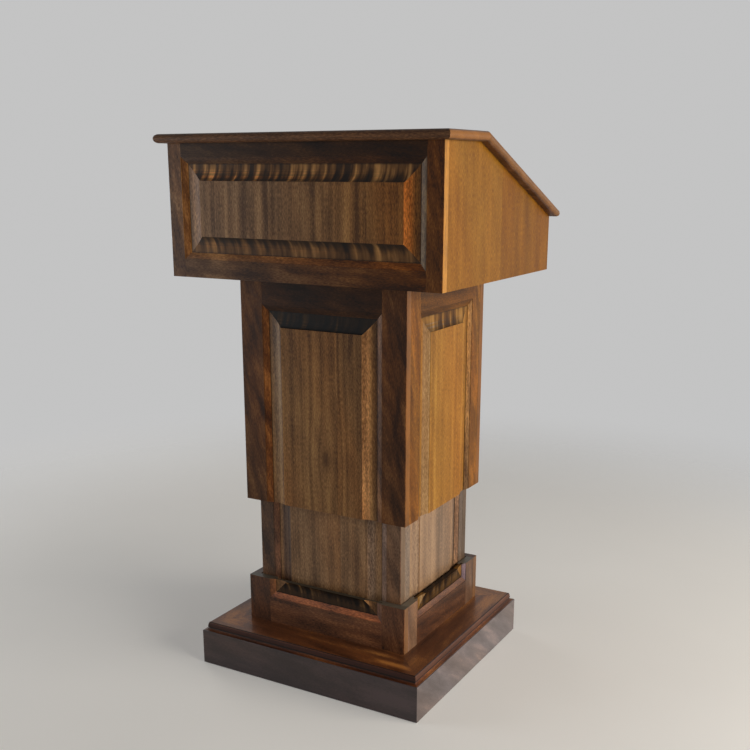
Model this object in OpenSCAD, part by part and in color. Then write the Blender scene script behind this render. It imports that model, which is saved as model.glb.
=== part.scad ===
// Height-adjustable lectern: a panelled head on a column that slides over a fixed inner
// column. The audience side faces -Y, the reading slope falls towards +Y.
// Millimetres, +Z up, floor at Z = 0.

/* [Timber and joinery] */
// Thickness of the frame stock and of the solid boards
stock_t = 19; // [18:0.5:22]
// Width of the moulded sticking round each panel
stick_w = 14; // [10:0.5:18]
// Depth of the sticking, and of the front lip of the panel groove
lip_t = 6.5; // [5.5:0.1:7]
// Small step at the outer edge of the sticking
quirk_t = 0.8; // [0.4:0.1:1.2]
// Swell of the sticking above a straight bevel
stick_swell = 0.7; // [0:0.1:1.2]
// Width of the panel groove, and thickness of the panel tongue
groove_w = 6; // [5:0.1:6.5]
// Depth of the panel groove
groove_d = 9; // [7:0.5:10]
// Room left behind a panel tongue for the timber to move
tongue_room = 1.5; // [1:0.1:2.5]
// Width of the cove round a raised field
cove_w = 35; // [24:0.5:40]
// Upright step between the top of the cove and the field
field_step = 1.2; // [0.6:0.1:2]
// How far the raised field stands in front of the frame face
field_proud = 1; // [0:0.1:2]
// Chamfer that breaks the outer edges of the frames
arris = 0.9; // [0.5:0.1:1.5]

/* [Head] */
// Width of the head, over its side boards
head_w = 660; // [580:1:740]
// Depth of the head, front frame included
head_d = 558; // [520:1:620]
// Height of the head at the front, under the top board
head_front_h = 281; // [250:1:320]
// Height of the side boards at the rear
head_rear_h = 122.5; // [100:0.5:160]
// Depth of the flat part of the top, from the front face to the crease
crease_back = 160; // [120:1:200]
// Visible face of the head's stiles, outside the sticking
head_stile_face = 35.5; // [28:0.5:50]
// Visible face of the head's top rail
head_top_rail_face = 28; // [22:0.5:40]
// Visible face of the head's bottom rail
head_bottom_rail_face = 39; // [30:0.5:50]
// Thickness of the top board and of the reading board
top_t = 19; // [16:0.5:24]
// Overhang of the top past the front and the sides
top_reach = 20.8; // [12:0.2:28]
// Overhang of the reading board past the rear of the sides, along the slope
slope_reach = 10; // [9.5:0.5:20]
// Thickness of the head's floor
floor_t = 19; // [16:0.5:24]

/* [Book stop] */
// Length of the book stop
stop_l = 560; // [400:5:600]
// Thickness of the book stop, along the slope
stop_t = 16; // [12:1:20]
// Height of the book stop above the reading board
stop_h = 20; // [12:1:24]
// Distance from the book stop to the lower edge of the reading board
stop_inset = 24; // [16:1:60]

/* [Sliding column] */
// Width of the sliding column
sleeve_w = 421; // [400:1:460]
// Depth of the sliding column
sleeve_d = 384; // [360:1:420]
// Height of the sliding column, from its sawn foot to the head
sleeve_h = 518.5; // [500:0.5:540]
// Distance from the head's front face to the column's front face
sleeve_back = 82; // [70:1:95]
// Visible face of the front and rear stiles
sleeve_stile_face = 58; // [44:0.5:70]
// Visible face of the side stiles, beside the edge of the front frame
sleeve_side_stile_face = 42; // [30:0.5:55]
// Visible face of the top rails
sleeve_rail_face = 60; // [45:0.5:75]

/* [Fixed inner column] */
// Clearance between the two columns, on each side
slide_gap = 3; // [2.5:0.1:4]
// Height of the inner column above the base
inner_h = 570; // [540:1:585]
// Visible face of the front and rear stiles
inner_stile_face = 36; // [28:0.5:50]
// Visible face of the side stiles, beside the edge of the front frame
inner_side_stile_face = 21; // [15:0.5:35]

/* [Collar] */
// Height of the collar above the base
collar_h = 109; // [100:0.5:118]
// Visible face of the collar's bottom rails
collar_rail_face = 62.5; // [50:0.5:64]

/* [Base] */
// Width of the base over its skirt
base_w = 579; // [540:1:640]
// Depth of the base over its skirt
base_d = 542; // [520:1:600]
// How far the base reaches in front of the column
base_front_reach = 88.6; // [72:0.2:96]
// Height of the skirt's top edge above the floor
skirt_top_z = 85; // [75:0.5:100]
// Thickness of the skirt boards
skirt_t = 19; // [16:0.5:24]
// Thickness of the moulded base top
base_top_t = 19; // [17:0.5:22]
// Ledge between the skirt face and the foot of the base moulding
ledge_w = 2.5; // [1:0.1:5]
// Height of the cove at the foot of the base moulding
base_cove_h = 6; // [4:0.2:7]
// How far the cove cuts in
base_cove_in = 9; // [6:0.2:11]
// How far the bead stands out from the narrowest point above the cove
bead_out = 2.2; // [1:0.1:3]
// How far the top edge of the bead rounds in
bead_in = 4.5; // [3:0.1:6]
// Thickness of the deck under the base top
deck_t = 18; // [15:0.5:22]
// Side of each corner block inside the skirt
block_w = 45; // [35:1:60]
// Diameter of each glide
glide_dia = 28; // [20:1:34]
// Height of each glide
glide_h = 5; // [4:0.5:8]
// How far the glides hold the skirt off the floor
skirt_lift = 1.5; // [1:0.1:2.5]

/* [Lift] */
// Outside width of the fixed lift tube
lift_outer_w = 80; // [74:1:90]
// Wall of both lift tubes
lift_wall = 3; // [2.5:0.5:3.5]
// Running clearance between the lift tubes, on each side
lift_gap = 0.3; // [0.2:0.1:0.5]
// Height of the fixed lift tube above its foot plate
lift_outer_h = 470; // [420:5:500]
// Length of the moving lift tube under its head plate
lift_inner_l = 560; // [520:5:600]
// Side of the welded foot and head plates
lift_plate_w = 180; // [140:5:220]
// Thickness of the welded plates
lift_plate_t = 6; // [4:0.5:8]
// Thickness of the guide strips between the columns
guide_t = 2.7; // [2.2:0.1:2.7]
// Width of the guide strips
guide_w = 20; // [14:1:24]
// Height of the guide strips
guide_h = 70; // [50:1:100]
// Distance from the guide strips to the top of the inner column
guide_down = 8; // [4:1:20]

/* [Release lever] */
// Distance from the column's centre back to the lever's pivot
pivot_back = 146; // [138:1:150]
// Depth of the pivot below the head's floor
pivot_down = 22; // [20:0.5:26]
// Diameter of the lever's pivot shaft
pivot_dia = 8; // [6:0.5:9]
// Radial clearance of the pivot shaft in its bracket
pivot_gap = 0.05; // [0.03:0.01:0.08]
// Width of the lever's bar
bar_w = 12; // [10:0.5:14]
// Thickness of the lever's bar
bar_t = 6; // [5:0.5:8]
// Reach of the bar from its pivot in to the lift
bar_in = 136; // [120:1:140]
// Reach of the bar from its pivot out under the rear of the head
bar_out = 84; // [70:1:90]
// Diameter of the lever's grip
grip_dia = 16; // [14:0.5:18]
// Length of the lever's grip
grip_l = 34; // [25:1:38]
// Thickness of the bracket's ears and plate
ear_t = 3; // [2.5:0.5:4]
// Side clearance between the lever and the bracket's ears
ear_gap = 0.3; // [0.2:0.1:0.6]
// Width of the bracket's ears, front to back
ear_w = 20; // [16:1:24]
// Width of the notch for the lever in the rear top rail
notch_w = 26; // [20:1:34]
// Depth of that notch below the head's floor
notch_h = 40; // [34:1:42]

/* [Hidden] */
$fn = 48;

// Colours of the oiled walnut and of the fittings
walnut = [0.29, 0.19, 0.12];
walnut_dark = [0.22, 0.145, 0.10];
walnut_gold = [0.52, 0.36, 0.18];
plywood = [0.66, 0.52, 0.36];
steel_black = [0.12, 0.12, 0.13];
nylon_white = [0.85, 0.84, 0.80];

// Slope of the reading board
slope = atan((head_front_h - head_rear_h) / (head_d - crease_back));
// Reach of the reading board past the rear of the sides, measured level
nose_r = top_t / 2;
rear_reach = (slope_reach - nose_r) * cos(slope) + nose_r * sin(slope) + nose_r;
// The plan of the top is centred on the origin
head_front_y = -(top_reach + head_d + rear_reach) / 2 + top_reach;
head_rear_y = head_front_y + head_d;
crease_y = head_front_y + crease_back;

// Travel of the head down from this raised position, and the gap left when it is down
travel_down = 192;
stop_gap = 0.5;

// Heights of the main stages above the floor
base_z = skirt_top_z + base_top_t;
collar_top_z = base_z + collar_h;
sleeve_foot_z = collar_top_z + travel_down + stop_gap;
head_z = sleeve_foot_z + sleeve_h;
head_top_z = head_z + head_front_h;
inner_top_z = base_z + inner_h;

// Plan of the three columns
sleeve_front_y = head_front_y + sleeve_back;
sleeve_rear_y = sleeve_front_y + sleeve_d;
column_y = sleeve_front_y + sleeve_d / 2;
inner_w = sleeve_w - 2 * (stock_t + slide_gap);
inner_d = sleeve_d - 2 * (stock_t + slide_gap);
well_w = inner_w - 2 * stock_t;
well_d = inner_d - 2 * stock_t;

// Plan of the base
base_front_y = sleeve_front_y - base_front_reach;
base_mid_y = base_front_y + base_d / 2;
lift_foot_z = skirt_top_z;

// Panels: how far the tongue goes in, and how far its back lies behind the frame face
tongue_in = groove_d - tongue_room;
panel_back = lip_t + groove_w;
// Angle that the cove turns through, up to the field
cove_turn = 72;
// Points along each cove, along the sticking and along each curve of the base moulding
cove_steps = 16;
stick_steps = 6;
moulding_steps = 8;
// How far a cutter runs past what it cuts
over = 1;

// Section of a frame member with its sticking and panel groove: the first number runs
// across the face from the outer edge, the second runs back from the face
function member_section(face_w, broken) = let (edge = face_w + stick_w) concat(
    [[0, stock_t]], broken ? [[0, arris], [arris, 0]] : [[0, 0]], [[face_w, 0]],
    [for (i = [0 : stick_steps]) let (t = i / stick_steps)
        [face_w + stick_w * t,
            quirk_t + (lip_t - 2 * quirk_t) * t - stick_swell * sin(180 * t)]],
    [[edge, lip_t], [edge - groove_d, lip_t], [edge - groove_d, panel_back],
        [edge, panel_back], [edge, stock_t]]);

// Half section of a cove, from the frame's edge up to the field
function cove_curve() = [for (i = [0 : cove_steps])
    let (turn = cove_turn * i / cove_steps,
        rise = lip_t + field_proud - field_step)
    [cove_w * sin(turn) / sin(cove_turn), lip_t - rise * (1 - cos(turn)) / (1 - cos(cove_turn))]];

// Section of a raised panel across a clear opening, with a cove or a sawn edge at each end
function panel_section(clear, cove_low, cove_high) = concat(
    cove_low ? concat([[-tongue_in, panel_back], [-tongue_in, lip_t]], cove_curve(),
        [[cove_w, -field_proud]]) : [[0, panel_back], [0, -field_proud]],
    cove_high ? concat([[clear - cove_w, -field_proud]],
        [for (i = [cove_steps : -1 : 0]) let (p = cove_curve()[i]) [clear - p[0], p[1]]],
        [[clear + tongue_in, lip_t], [clear + tongue_in, panel_back]])
        : [[clear, -field_proud], [clear, panel_back]]);

// One side of a frame-and-panel box stands in a local frame: X across from 0 to the width,
// Z up from 0, the face at Y = 0 and the back at Y = stock_t
module stile_pair(side_w, side_h, face_w) {
    for (far = [0, 1])
        translate([far * side_w, 0, 0])
            mirror([far, 0, 0])
                linear_extrude(side_h)
                    polygon(member_section(face_w, true));
}

// A rail coped over the stiles' sticking, with stub tenons in their grooves. Its outer edge
// is its top edge at height z_edge, or its bottom edge when rising is true
module rail(side_w, side_h, stile_face, rail_face, z_edge, rising, broken = false) {
    difference() {
        translate([stile_face, 0, z_edge])
            mirror([0, 0, rising ? 0 : 1])
                rotate([90, 0, 90])
                    linear_extrude(side_w - 2 * stile_face)
                        polygon([for (p = member_section(rail_face, broken)) [p[1], p[0]]]);
        stile_pair(side_w, side_h, stile_face);
    }
}

// A raised panel in the opening between stiles, from z_low to z_high
module raised_panel(side_w, stile_face, z_low, z_high, cove_low, cove_high) {
    frame_in = stile_face + stick_w;
    clear_w = side_w - 2 * frame_in;
    clear_h = z_high - z_low;
    translate([frame_in, 0, z_low])
        intersection() {
            translate([0, 0, -groove_d])
                linear_extrude(clear_h + 2 * groove_d)
                    polygon(panel_section(clear_w, true, true));
            translate([-groove_d, 0, 0])
                rotate([90, 0, 90])
                    linear_extrude(clear_w + 2 * groove_d)
                        polygon([for (p = panel_section(clear_h, cove_low, cove_high)) [p[1], p[0]]]);
        }
}

// Column sides

// Places a side of a box of the given plan round the column's centre: the front and rear
// are full width, and the left and right stand between them
module on_side(side, box_w, box_d, z) {
    turn = side == "front" ? 0 : side == "right" ? 90 : side == "rear" ? 180 : -90;
    wide = side == "front" || side == "rear";
    translate([0, column_y, z])
        rotate([0, 0, turn])
            translate(wide ? [-box_w / 2, -box_d / 2, 0] : [-box_d / 2 + stock_t, -box_w / 2, 0])
                children();
}

// Clear width of a side, and the visible face of its stiles
function side_span(side, box_w, box_d) =
    side == "front" || side == "rear" ? box_w : box_d - 2 * stock_t;
function side_face(side, wide_face, narrow_face) =
    side == "front" || side == "rear" ? wide_face : narrow_face;

// Sliding column

module sleeve_stiles(side) {
    color(side == "front" || side == "rear" ? walnut_dark : walnut_gold)
        on_side(side, sleeve_w, sleeve_d, sleeve_foot_z)
            stile_pair(side_span(side, sleeve_w, sleeve_d), sleeve_h,
                side_face(side, sleeve_stile_face, sleeve_side_stile_face));
}

module sleeve_rail(side) {
    color(side == "front" || side == "rear" ? walnut_dark : walnut_gold)
        difference() {
            on_side(side, sleeve_w, sleeve_d, sleeve_foot_z)
                rail(side_span(side, sleeve_w, sleeve_d), sleeve_h,
                    side_face(side, sleeve_stile_face, sleeve_side_stile_face),
                    sleeve_rail_face, sleeve_h, false);
            if (side == "rear")
                lever_notch();
        }
}

module sleeve_panel(side) {
    color(side == "front" || side == "rear" ? walnut : walnut_gold)
        on_side(side, sleeve_w, sleeve_d, sleeve_foot_z)
            raised_panel(side_span(side, sleeve_w, sleeve_d),
                side_face(side, sleeve_stile_face, sleeve_side_stile_face),
                0, sleeve_h - sleeve_rail_face - stick_w, false, true);
}

// Notch through the rear top rail, where the release lever comes out
module lever_notch() {
    translate([-notch_w / 2, sleeve_rear_y - stock_t - over, head_z - notch_h])
        cube([notch_w, stock_t + 2 * over, notch_h + over]);
}

// Fixed inner column

module inner_stiles(side) {
    color(side == "front" || side == "rear" ? walnut_dark : walnut_gold)
        on_side(side, inner_w, inner_d, base_z)
            stile_pair(side_span(side, inner_w, inner_d), inner_h,
                side_face(side, inner_stile_face, inner_side_stile_face));
}

module inner_panel(side) {
    color(side == "front" || side == "rear" ? walnut : walnut_gold)
        on_side(side, inner_w, inner_d, base_z)
            raised_panel(side_span(side, inner_w, inner_d),
                side_face(side, inner_stile_face, inner_side_stile_face), 0, inner_h, false, false);
}

// Collar: the foot of the same panelled column, fixed to the base and open at its sawn top

module collar_stiles(side) {
    color(side == "front" || side == "rear" ? walnut_dark : walnut_gold)
        on_side(side, sleeve_w, sleeve_d, base_z)
            stile_pair(side_span(side, sleeve_w, sleeve_d), collar_h,
                side_face(side, sleeve_stile_face, sleeve_side_stile_face));
}

module collar_rail(side) {
    color(side == "front" || side == "rear" ? walnut_dark : walnut_gold)
        on_side(side, sleeve_w, sleeve_d, base_z)
            rail(side_span(side, sleeve_w, sleeve_d), collar_h,
                side_face(side, sleeve_stile_face, sleeve_side_stile_face),
                collar_rail_face, 0, true);
}

module collar_panel(side) {
    color(side == "front" || side == "rear" ? walnut : walnut_gold)
        on_side(side, sleeve_w, sleeve_d, base_z)
            intersection() {
                raised_panel(side_span(side, sleeve_w, sleeve_d),
                    side_face(side, sleeve_stile_face, sleeve_side_stile_face),
                    collar_rail_face + stick_w, collar_h + cove_w, true, false);
                translate([0, -field_proud, 0])
                    cube([sleeve_w, stock_t, collar_h]);
            }
}

// Head

// Places the front frame of the head
module head_front() {
    translate([-head_w / 2, head_front_y, head_z])
        children();
}

module head_front_stiles() {
    color(walnut_dark)
        head_front()
            stile_pair(head_w, head_front_h, head_stile_face);
}

module head_top_rail() {
    color(walnut_dark)
        head_front()
            rail(head_w, head_front_h, head_stile_face, head_top_rail_face, head_front_h, false);
}

module head_bottom_rail() {
    color(walnut_dark)
        head_front()
            rail(head_w, head_front_h, head_stile_face, head_bottom_rail_face, 0, true, true);
}

module head_front_panel() {
    color(walnut)
        head_front()
            raised_panel(head_w, head_stile_face, head_bottom_rail_face + stick_w,
                head_front_h - head_top_rail_face - stick_w, true, true);
}

// A side board behind the front frame, cut to the slope of the reading board
module head_side(x_low) {
    color(walnut_gold)
        translate([x_low, 0, head_z])
            rotate([90, 0, 90])
                linear_extrude(stock_t)
                    polygon([[head_front_y + stock_t, 0], [head_rear_y, 0],
                        [head_rear_y, head_rear_h], [crease_y, head_front_h],
                        [head_front_y + stock_t, head_front_h]]);
}

module head_floor() {
    color(walnut)
        translate([-head_w / 2 + stock_t, head_front_y + stock_t, head_z])
            cube([head_w - 2 * stock_t, head_d - stock_t, floor_t]);
}

// Outline of a board's cross section with both edges fully rounded
module nosed_width() {
    flat_w = head_w + 2 * (top_reach - nose_r);
    translate([-flat_w / 2, 0])
        square([flat_w, top_t]);
    for (end = [-1, 1])
        translate([end * flat_w / 2, nose_r])
            circle(nose_r);
}

// How far the mitre at the crease leans over the thickness of the top
crease_lean = top_t * tan(slope / 2);
slope_l = (head_d - crease_back) / cos(slope) + slope_reach;

// Places what lies on the slope: Y runs down the slope from the crease, Z out of the board
module on_slope() {
    translate([0, crease_y, head_top_z])
        rotate([-slope, 0, 0])
            children();
}

// A board's lengthwise section, extruded across, with its side edges rounded too
module nosed_board(y_low, y_high) {
    intersection() {
        translate([-head_w, 0, 0])
            rotate([90, 0, 90])
                linear_extrude(2 * head_w)
                    children();
        translate([0, y_high, 0])
            rotate([90, 0, 0])
                linear_extrude(y_high - y_low)
                    nosed_width();
    }
}

module desk_top() {
    color(walnut)
        translate([0, 0, head_top_z])
            nosed_board(head_front_y - top_reach, crease_y + crease_lean) {
                polygon([[head_front_y - top_reach + nose_r, 0], [crease_y, 0],
                    [crease_y + crease_lean, top_t],
                    [head_front_y - top_reach + nose_r, top_t]]);
                translate([head_front_y - top_reach + nose_r, nose_r])
                    circle(nose_r);
            }
}

module reading_board() {
    color(walnut)
        on_slope()
            nosed_board(-crease_lean, slope_l) {
                polygon([[0, 0], [slope_l - nose_r, 0], [slope_l - nose_r, top_t],
                    [-crease_lean, top_t]]);
                translate([slope_l - nose_r, nose_r])
                    circle(nose_r);
            }
}

// Ledge that keeps papers on the slope, with a rounded top
module book_stop() {
    round_r = stop_t / 2;
    color(walnut_dark)
        on_slope()
            translate([-stop_l / 2, slope_l - stop_inset - stop_t, top_t])
                rotate([90, 0, 90])
                    linear_extrude(stop_l) {
                        square([stop_t, stop_h - round_r]);
                        translate([round_r, stop_h - round_r])
                            circle(round_r);
                    }
}

// Base

SIDES = ["front", "right", "rear", "left"];
base_rear_y = base_front_y + base_d;
well_front_y = column_y - well_d / 2;
well_rear_y = column_y + well_d / 2;

// Corners of a plan rectangle, in the order of the sides that start at them
function plan_corners(half_w, y_low, y_high) =
    [[-half_w, y_low], [half_w, y_low], [half_w, y_high], [-half_w, y_high]];

// Block that cuts a board's mitres, between an outer and an inner rectangle
module mitre_block(side, outer, inner) {
    start = search([side], SIDES)[0];
    next = (start + 1) % len(SIDES);
    translate([0, 0, -over])
        linear_extrude(base_z + 2 * over)
            polygon([outer[start], outer[next], inner[next], inner[start]]);
}

// Places one side of the base: X along it, Y in from the skirt's face, Z from the floor
module on_base(side) {
    if (side == "front")
        translate([0, base_front_y, 0]) children();
    if (side == "right")
        translate([base_w / 2, base_mid_y, 0]) rotate([0, 0, 90]) children();
    if (side == "rear")
        translate([0, base_rear_y, 0]) rotate([0, 0, 180]) children();
    if (side == "left")
        translate([-base_w / 2, base_mid_y, 0]) rotate([0, 0, -90]) children();
}

// A mitred board of a given section, between an outer and an inner rectangle
module mitred_board(side, outer, inner) {
    intersection() {
        on_base(side)
            translate([-base_w, 0, 0])
                rotate([90, 0, 90])
                    linear_extrude(2 * base_w)
                        children();
        mitre_block(side, outer, inner);
    }
}

skirt_outer = plan_corners(base_w / 2, base_front_y, base_rear_y);
skirt_inner = plan_corners(base_w / 2 - skirt_t, base_front_y + skirt_t, base_rear_y - skirt_t);
well_plan = plan_corners(well_w / 2, well_front_y, well_rear_y);

// Moulded edge of the base top, from the ledge up: a cove, a quirk and a long bead
function base_edge() = concat(
    [for (i = [0 : moulding_steps]) let (turn = 90 * i / moulding_steps)
        [ledge_w + base_cove_in * sin(turn), base_cove_h * (1 - cos(turn))]],
    [for (i = [0 : moulding_steps]) let (turn = 90 * i / moulding_steps)
        [ledge_w + base_cove_in - bead_out + bead_in * (1 - cos(turn)),
            base_cove_h + (base_top_t - base_cove_h) * sin(turn)]]);

module base_top(side) {
    color(walnut)
        mitred_board(side, skirt_outer, well_plan)
            translate([0, skirt_top_z])
                polygon(concat(base_edge(), [[base_w / 2, base_top_t], [base_w / 2, 0]]));
}

module skirt(side) {
    color(walnut_dark)
        mitred_board(side, skirt_outer, skirt_inner)
            polygon([[0, skirt_lift], [skirt_t, skirt_lift], [skirt_t, skirt_top_z],
                [arris, skirt_top_z], [0, skirt_top_z - arris]]);
}

module base_deck() {
    color(plywood)
        translate([-base_w / 2 + skirt_t, base_front_y + skirt_t, skirt_top_z - deck_t])
            cube([base_w - 2 * skirt_t, base_d - 2 * skirt_t, deck_t]);
}

// Puts a copy at each inside corner of the skirt, centred on the corner block
module at_blocks() {
    for (x = [-1, 1], y = [-1, 1])
        translate([x * (base_w / 2 - skirt_t - block_w / 2),
            base_mid_y + y * (base_d / 2 - skirt_t - block_w / 2), 0])
            children();
}

module corner_blocks() {
    color(plywood)
        at_blocks()
            translate([-block_w / 2, -block_w / 2, glide_h])
                cube([block_w, block_w, skirt_top_z - deck_t - glide_h]);
}

module glides() {
    color(nylon_white)
        at_blocks()
            cylinder(h = glide_h, d = glide_dia);
}

// Low-friction strips near the top of the inner column, two on each face
module column_guides() {
    side_y = inner_d / 2 - stock_t - inner_side_stile_face / 2;
    front_x = inner_w / 2 - inner_stile_face / 2;
    color(nylon_white)
        translate([0, column_y, inner_top_z - guide_down - guide_h])
            for (x = [-1, 1], y = [-1, 1]) {
                translate([x * front_x - guide_w / 2, y * (inner_d + guide_t) / 2 - guide_t / 2, 0])
                    cube([guide_w, guide_t, guide_h]);
                translate([x * (inner_w + guide_t) / 2 - guide_t / 2, y * side_y - guide_w / 2, 0])
                    cube([guide_t, guide_w, guide_h]);
            }
}

// Lift

lift_inner_w = lift_outer_w - 2 * (lift_wall + lift_gap);

module tube_outline(tube_w, corner_r) {
    flat_w = tube_w - 2 * corner_r;
    square([tube_w, flat_w], center = true);
    square([flat_w, tube_w], center = true);
    for (x = [-1, 1], y = [-1, 1])
        translate([x * flat_w / 2, y * flat_w / 2])
            circle(corner_r);
}

module lift_tube(tube_w, tube_h) {
    linear_extrude(tube_h)
        difference() {
            tube_outline(tube_w, 2 * lift_wall);
            tube_outline(tube_w - 2 * lift_wall, lift_wall);
        }
}

module lift_plate() {
    translate([-lift_plate_w / 2, -lift_plate_w / 2, 0])
        cube([lift_plate_w, lift_plate_w, lift_plate_t]);
}

module lift_outer() {
    color(steel_black)
        translate([0, column_y, lift_foot_z]) {
            lift_plate();
            translate([0, 0, lift_plate_t])
                lift_tube(lift_outer_w, lift_outer_h);
        }
}

module lift_inner() {
    color(steel_black)
        translate([0, column_y, head_z - lift_plate_t]) {
            lift_plate();
            difference() {
                translate([0, 0, -lift_inner_l])
                    lift_tube(lift_inner_w, lift_inner_l);
                lever_slot();
            }
        }
}

pivot_y = column_y + pivot_back;
pivot_z = head_z - pivot_down;
// Room beside the lever in its slot, and below it for the stroke of its inner end
slot_side = 2;
slot_drop = 20;
slot_w = bar_w + 2 * slot_side;

// Slot in the rear wall of the moving tube, where the lever reaches the release pin
module lever_slot() {
    translate([-slot_w / 2, 0, lift_plate_t - pivot_down - slot_drop])
        cube([slot_w, lift_outer_w, slot_drop + bar_t]);
}

// Release lever

// Wall of the lever's boss round its shaft, and how far the shaft's ends stand out
boss_wall = 3;
shaft_end = 1;
boss_r = pivot_dia / 2 + boss_wall;
// Inner face of the bracket's ears, and width of its plate beside each ear
ear_x = bar_w / 2 + ear_gap;
flange_w = 14;

module lever_bracket() {
    plate_w = 2 * (ear_x + ear_t + flange_w);
    color(steel_black)
        translate([0, pivot_y, 0]) {
            translate([-plate_w / 2, -ear_w / 2, head_z - ear_t])
                cube([plate_w, ear_w, ear_t]);
            for (end = [0, 1])
                mirror([end, 0, 0])
                    bracket_ear();
        }
}

module bracket_ear() {
    difference() {
        union() {
            translate([ear_x, -ear_w / 2, pivot_z])
                cube([ear_t, ear_w, pivot_down - ear_t]);
            translate([ear_x, 0, pivot_z])
                rotate([0, 90, 0])
                    cylinder(h = ear_t, r = ear_w / 2);
        }
        translate([ear_x - over, 0, pivot_z])
            rotate([0, 90, 0])
                cylinder(h = ear_t + 2 * over, r = pivot_dia / 2 + pivot_gap);
    }
}

module release_lever() {
    shaft_l = 2 * (ear_x + ear_t + shaft_end);
    color(steel_black)
        translate([0, pivot_y, pivot_z]) {
            translate([-bar_w / 2, -bar_in, -bar_t / 2])
                cube([bar_w, bar_in + bar_out, bar_t]);
            translate([-bar_w / 2, 0, 0])
                rotate([0, 90, 0])
                    cylinder(h = bar_w, r = boss_r);
            translate([-shaft_l / 2, 0, 0])
                rotate([0, 90, 0])
                    cylinder(h = shaft_l, d = pivot_dia);
        }
}

// Moulded grip on the end of the lever, turned about the bar's length
module lever_grip() {
    grip_r = grip_dia / 2;
    color(steel_black)
        translate([0, pivot_y + bar_out, pivot_z])
            rotate([-90, 0, 0])
                rotate_extrude()
                    intersection() {
                        square([grip_r, grip_l]);
                        union() {
                            square([grip_r, grip_l - grip_r]);
                            translate([0, grip_l - grip_r])
                                circle(grip_r);
                        }
                    }
}

head_front_stiles();
head_top_rail();
head_bottom_rail();
head_front_panel();
head_side(-head_w / 2);  // head_side_left
head_side(head_w / 2 - stock_t);  // head_side_right
head_floor();
desk_top();
reading_board();
book_stop();
sleeve_stiles("front");  // sleeve_front_stiles
sleeve_rail("front");  // sleeve_front_rail
sleeve_panel("front");  // sleeve_front_panel
sleeve_stiles("rear");  // sleeve_rear_stiles
sleeve_rail("rear");  // sleeve_rear_rail
sleeve_panel("rear");  // sleeve_rear_panel
sleeve_stiles("left");  // sleeve_left_stiles
sleeve_rail("left");  // sleeve_left_rail
sleeve_panel("left");  // sleeve_left_panel
sleeve_stiles("right");  // sleeve_right_stiles
sleeve_rail("right");  // sleeve_right_rail
sleeve_panel("right");  // sleeve_right_panel
inner_stiles("front");  // inner_front_stiles
inner_panel("front");  // inner_front_panel
inner_stiles("rear");  // inner_rear_stiles
inner_panel("rear");  // inner_rear_panel
inner_stiles("left");  // inner_left_stiles
inner_panel("left");  // inner_left_panel
inner_stiles("right");  // inner_right_stiles
inner_panel("right");  // inner_right_panel
collar_stiles("front");  // collar_front_stiles
collar_rail("front");  // collar_front_rail
collar_panel("front");  // collar_front_panel
collar_stiles("rear");  // collar_rear_stiles
collar_rail("rear");  // collar_rear_rail
collar_panel("rear");  // collar_rear_panel
collar_stiles("left");  // collar_left_stiles
collar_rail("left");  // collar_left_rail
collar_panel("left");  // collar_left_panel
collar_stiles("right");  // collar_right_stiles
collar_rail("right");  // collar_right_rail
collar_panel("right");  // collar_right_panel
base_top("front");  // base_top_front
base_top("rear");  // base_top_rear
base_top("left");  // base_top_left
base_top("right");  // base_top_right
skirt("front");  // skirt_front
skirt("rear");  // skirt_rear
skirt("left");  // skirt_left
skirt("right");  // skirt_right
base_deck();
corner_blocks();
glides();
column_guides();
lift_outer();
lift_inner();
lever_bracket();
release_lever();
lever_grip();
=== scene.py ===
"""Looks of a height-adjustable walnut lectern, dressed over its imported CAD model.

The head, the sliding column, the fixed inner column with its collar, the base, the lift and
the release lever are each a class that dresses its own CAD nodes and builds the small pieces
that ride on them. All places are in metres, in the frame of the CAD model.
"""

import logging
import math
from dataclasses import asdict, dataclass, field, fields, replace
from enum import Enum
from typing import Any, ClassVar, NamedTuple, Optional, Union

import bpy
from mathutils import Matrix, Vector


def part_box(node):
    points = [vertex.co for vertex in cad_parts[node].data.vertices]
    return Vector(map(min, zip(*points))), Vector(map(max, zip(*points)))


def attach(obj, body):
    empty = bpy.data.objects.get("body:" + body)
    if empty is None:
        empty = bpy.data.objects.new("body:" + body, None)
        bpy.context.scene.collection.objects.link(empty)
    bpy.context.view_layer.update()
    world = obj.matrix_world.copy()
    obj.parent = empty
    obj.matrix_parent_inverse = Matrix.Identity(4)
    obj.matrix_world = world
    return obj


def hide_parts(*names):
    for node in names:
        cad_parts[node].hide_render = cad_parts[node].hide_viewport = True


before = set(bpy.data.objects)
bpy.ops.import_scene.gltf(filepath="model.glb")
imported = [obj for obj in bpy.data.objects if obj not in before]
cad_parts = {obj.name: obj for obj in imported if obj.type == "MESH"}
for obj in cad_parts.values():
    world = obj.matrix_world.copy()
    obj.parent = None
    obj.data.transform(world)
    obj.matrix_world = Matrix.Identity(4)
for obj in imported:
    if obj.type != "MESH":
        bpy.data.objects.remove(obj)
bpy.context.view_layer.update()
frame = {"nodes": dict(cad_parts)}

LOG = logging.getLogger("lectern")

Colour = tuple[float, float, float]
Place = tuple[float, float, float]
Input = Union["Signal", float, int, Colour, Vector, str, bool]


def srgb(red: float, green: float, blue: float) -> Colour:
    """Turns a colour as a screen shows it into the linear colour that Blender mixes.

    Args:
        red: Red from 0 to 255.
        green: Green from 0 to 255.
        blue: Blue from 0 to 255.

    Returns:
        The linear colour.
    """
    levels = (channel / 255 for channel in (red, green, blue))
    linear = [v / 12.92 if v <= 0.04045 else ((v + 0.055) / 1.055) ** 2.4 for v in levels]
    return (linear[0], linear[1], linear[2])


def scaled(colour: Colour, factor: float) -> Colour:
    """Scales a colour."""
    return (colour[0] * factor, colour[1] * factor, colour[2] * factor)


# Shader and geometry graphs


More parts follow.
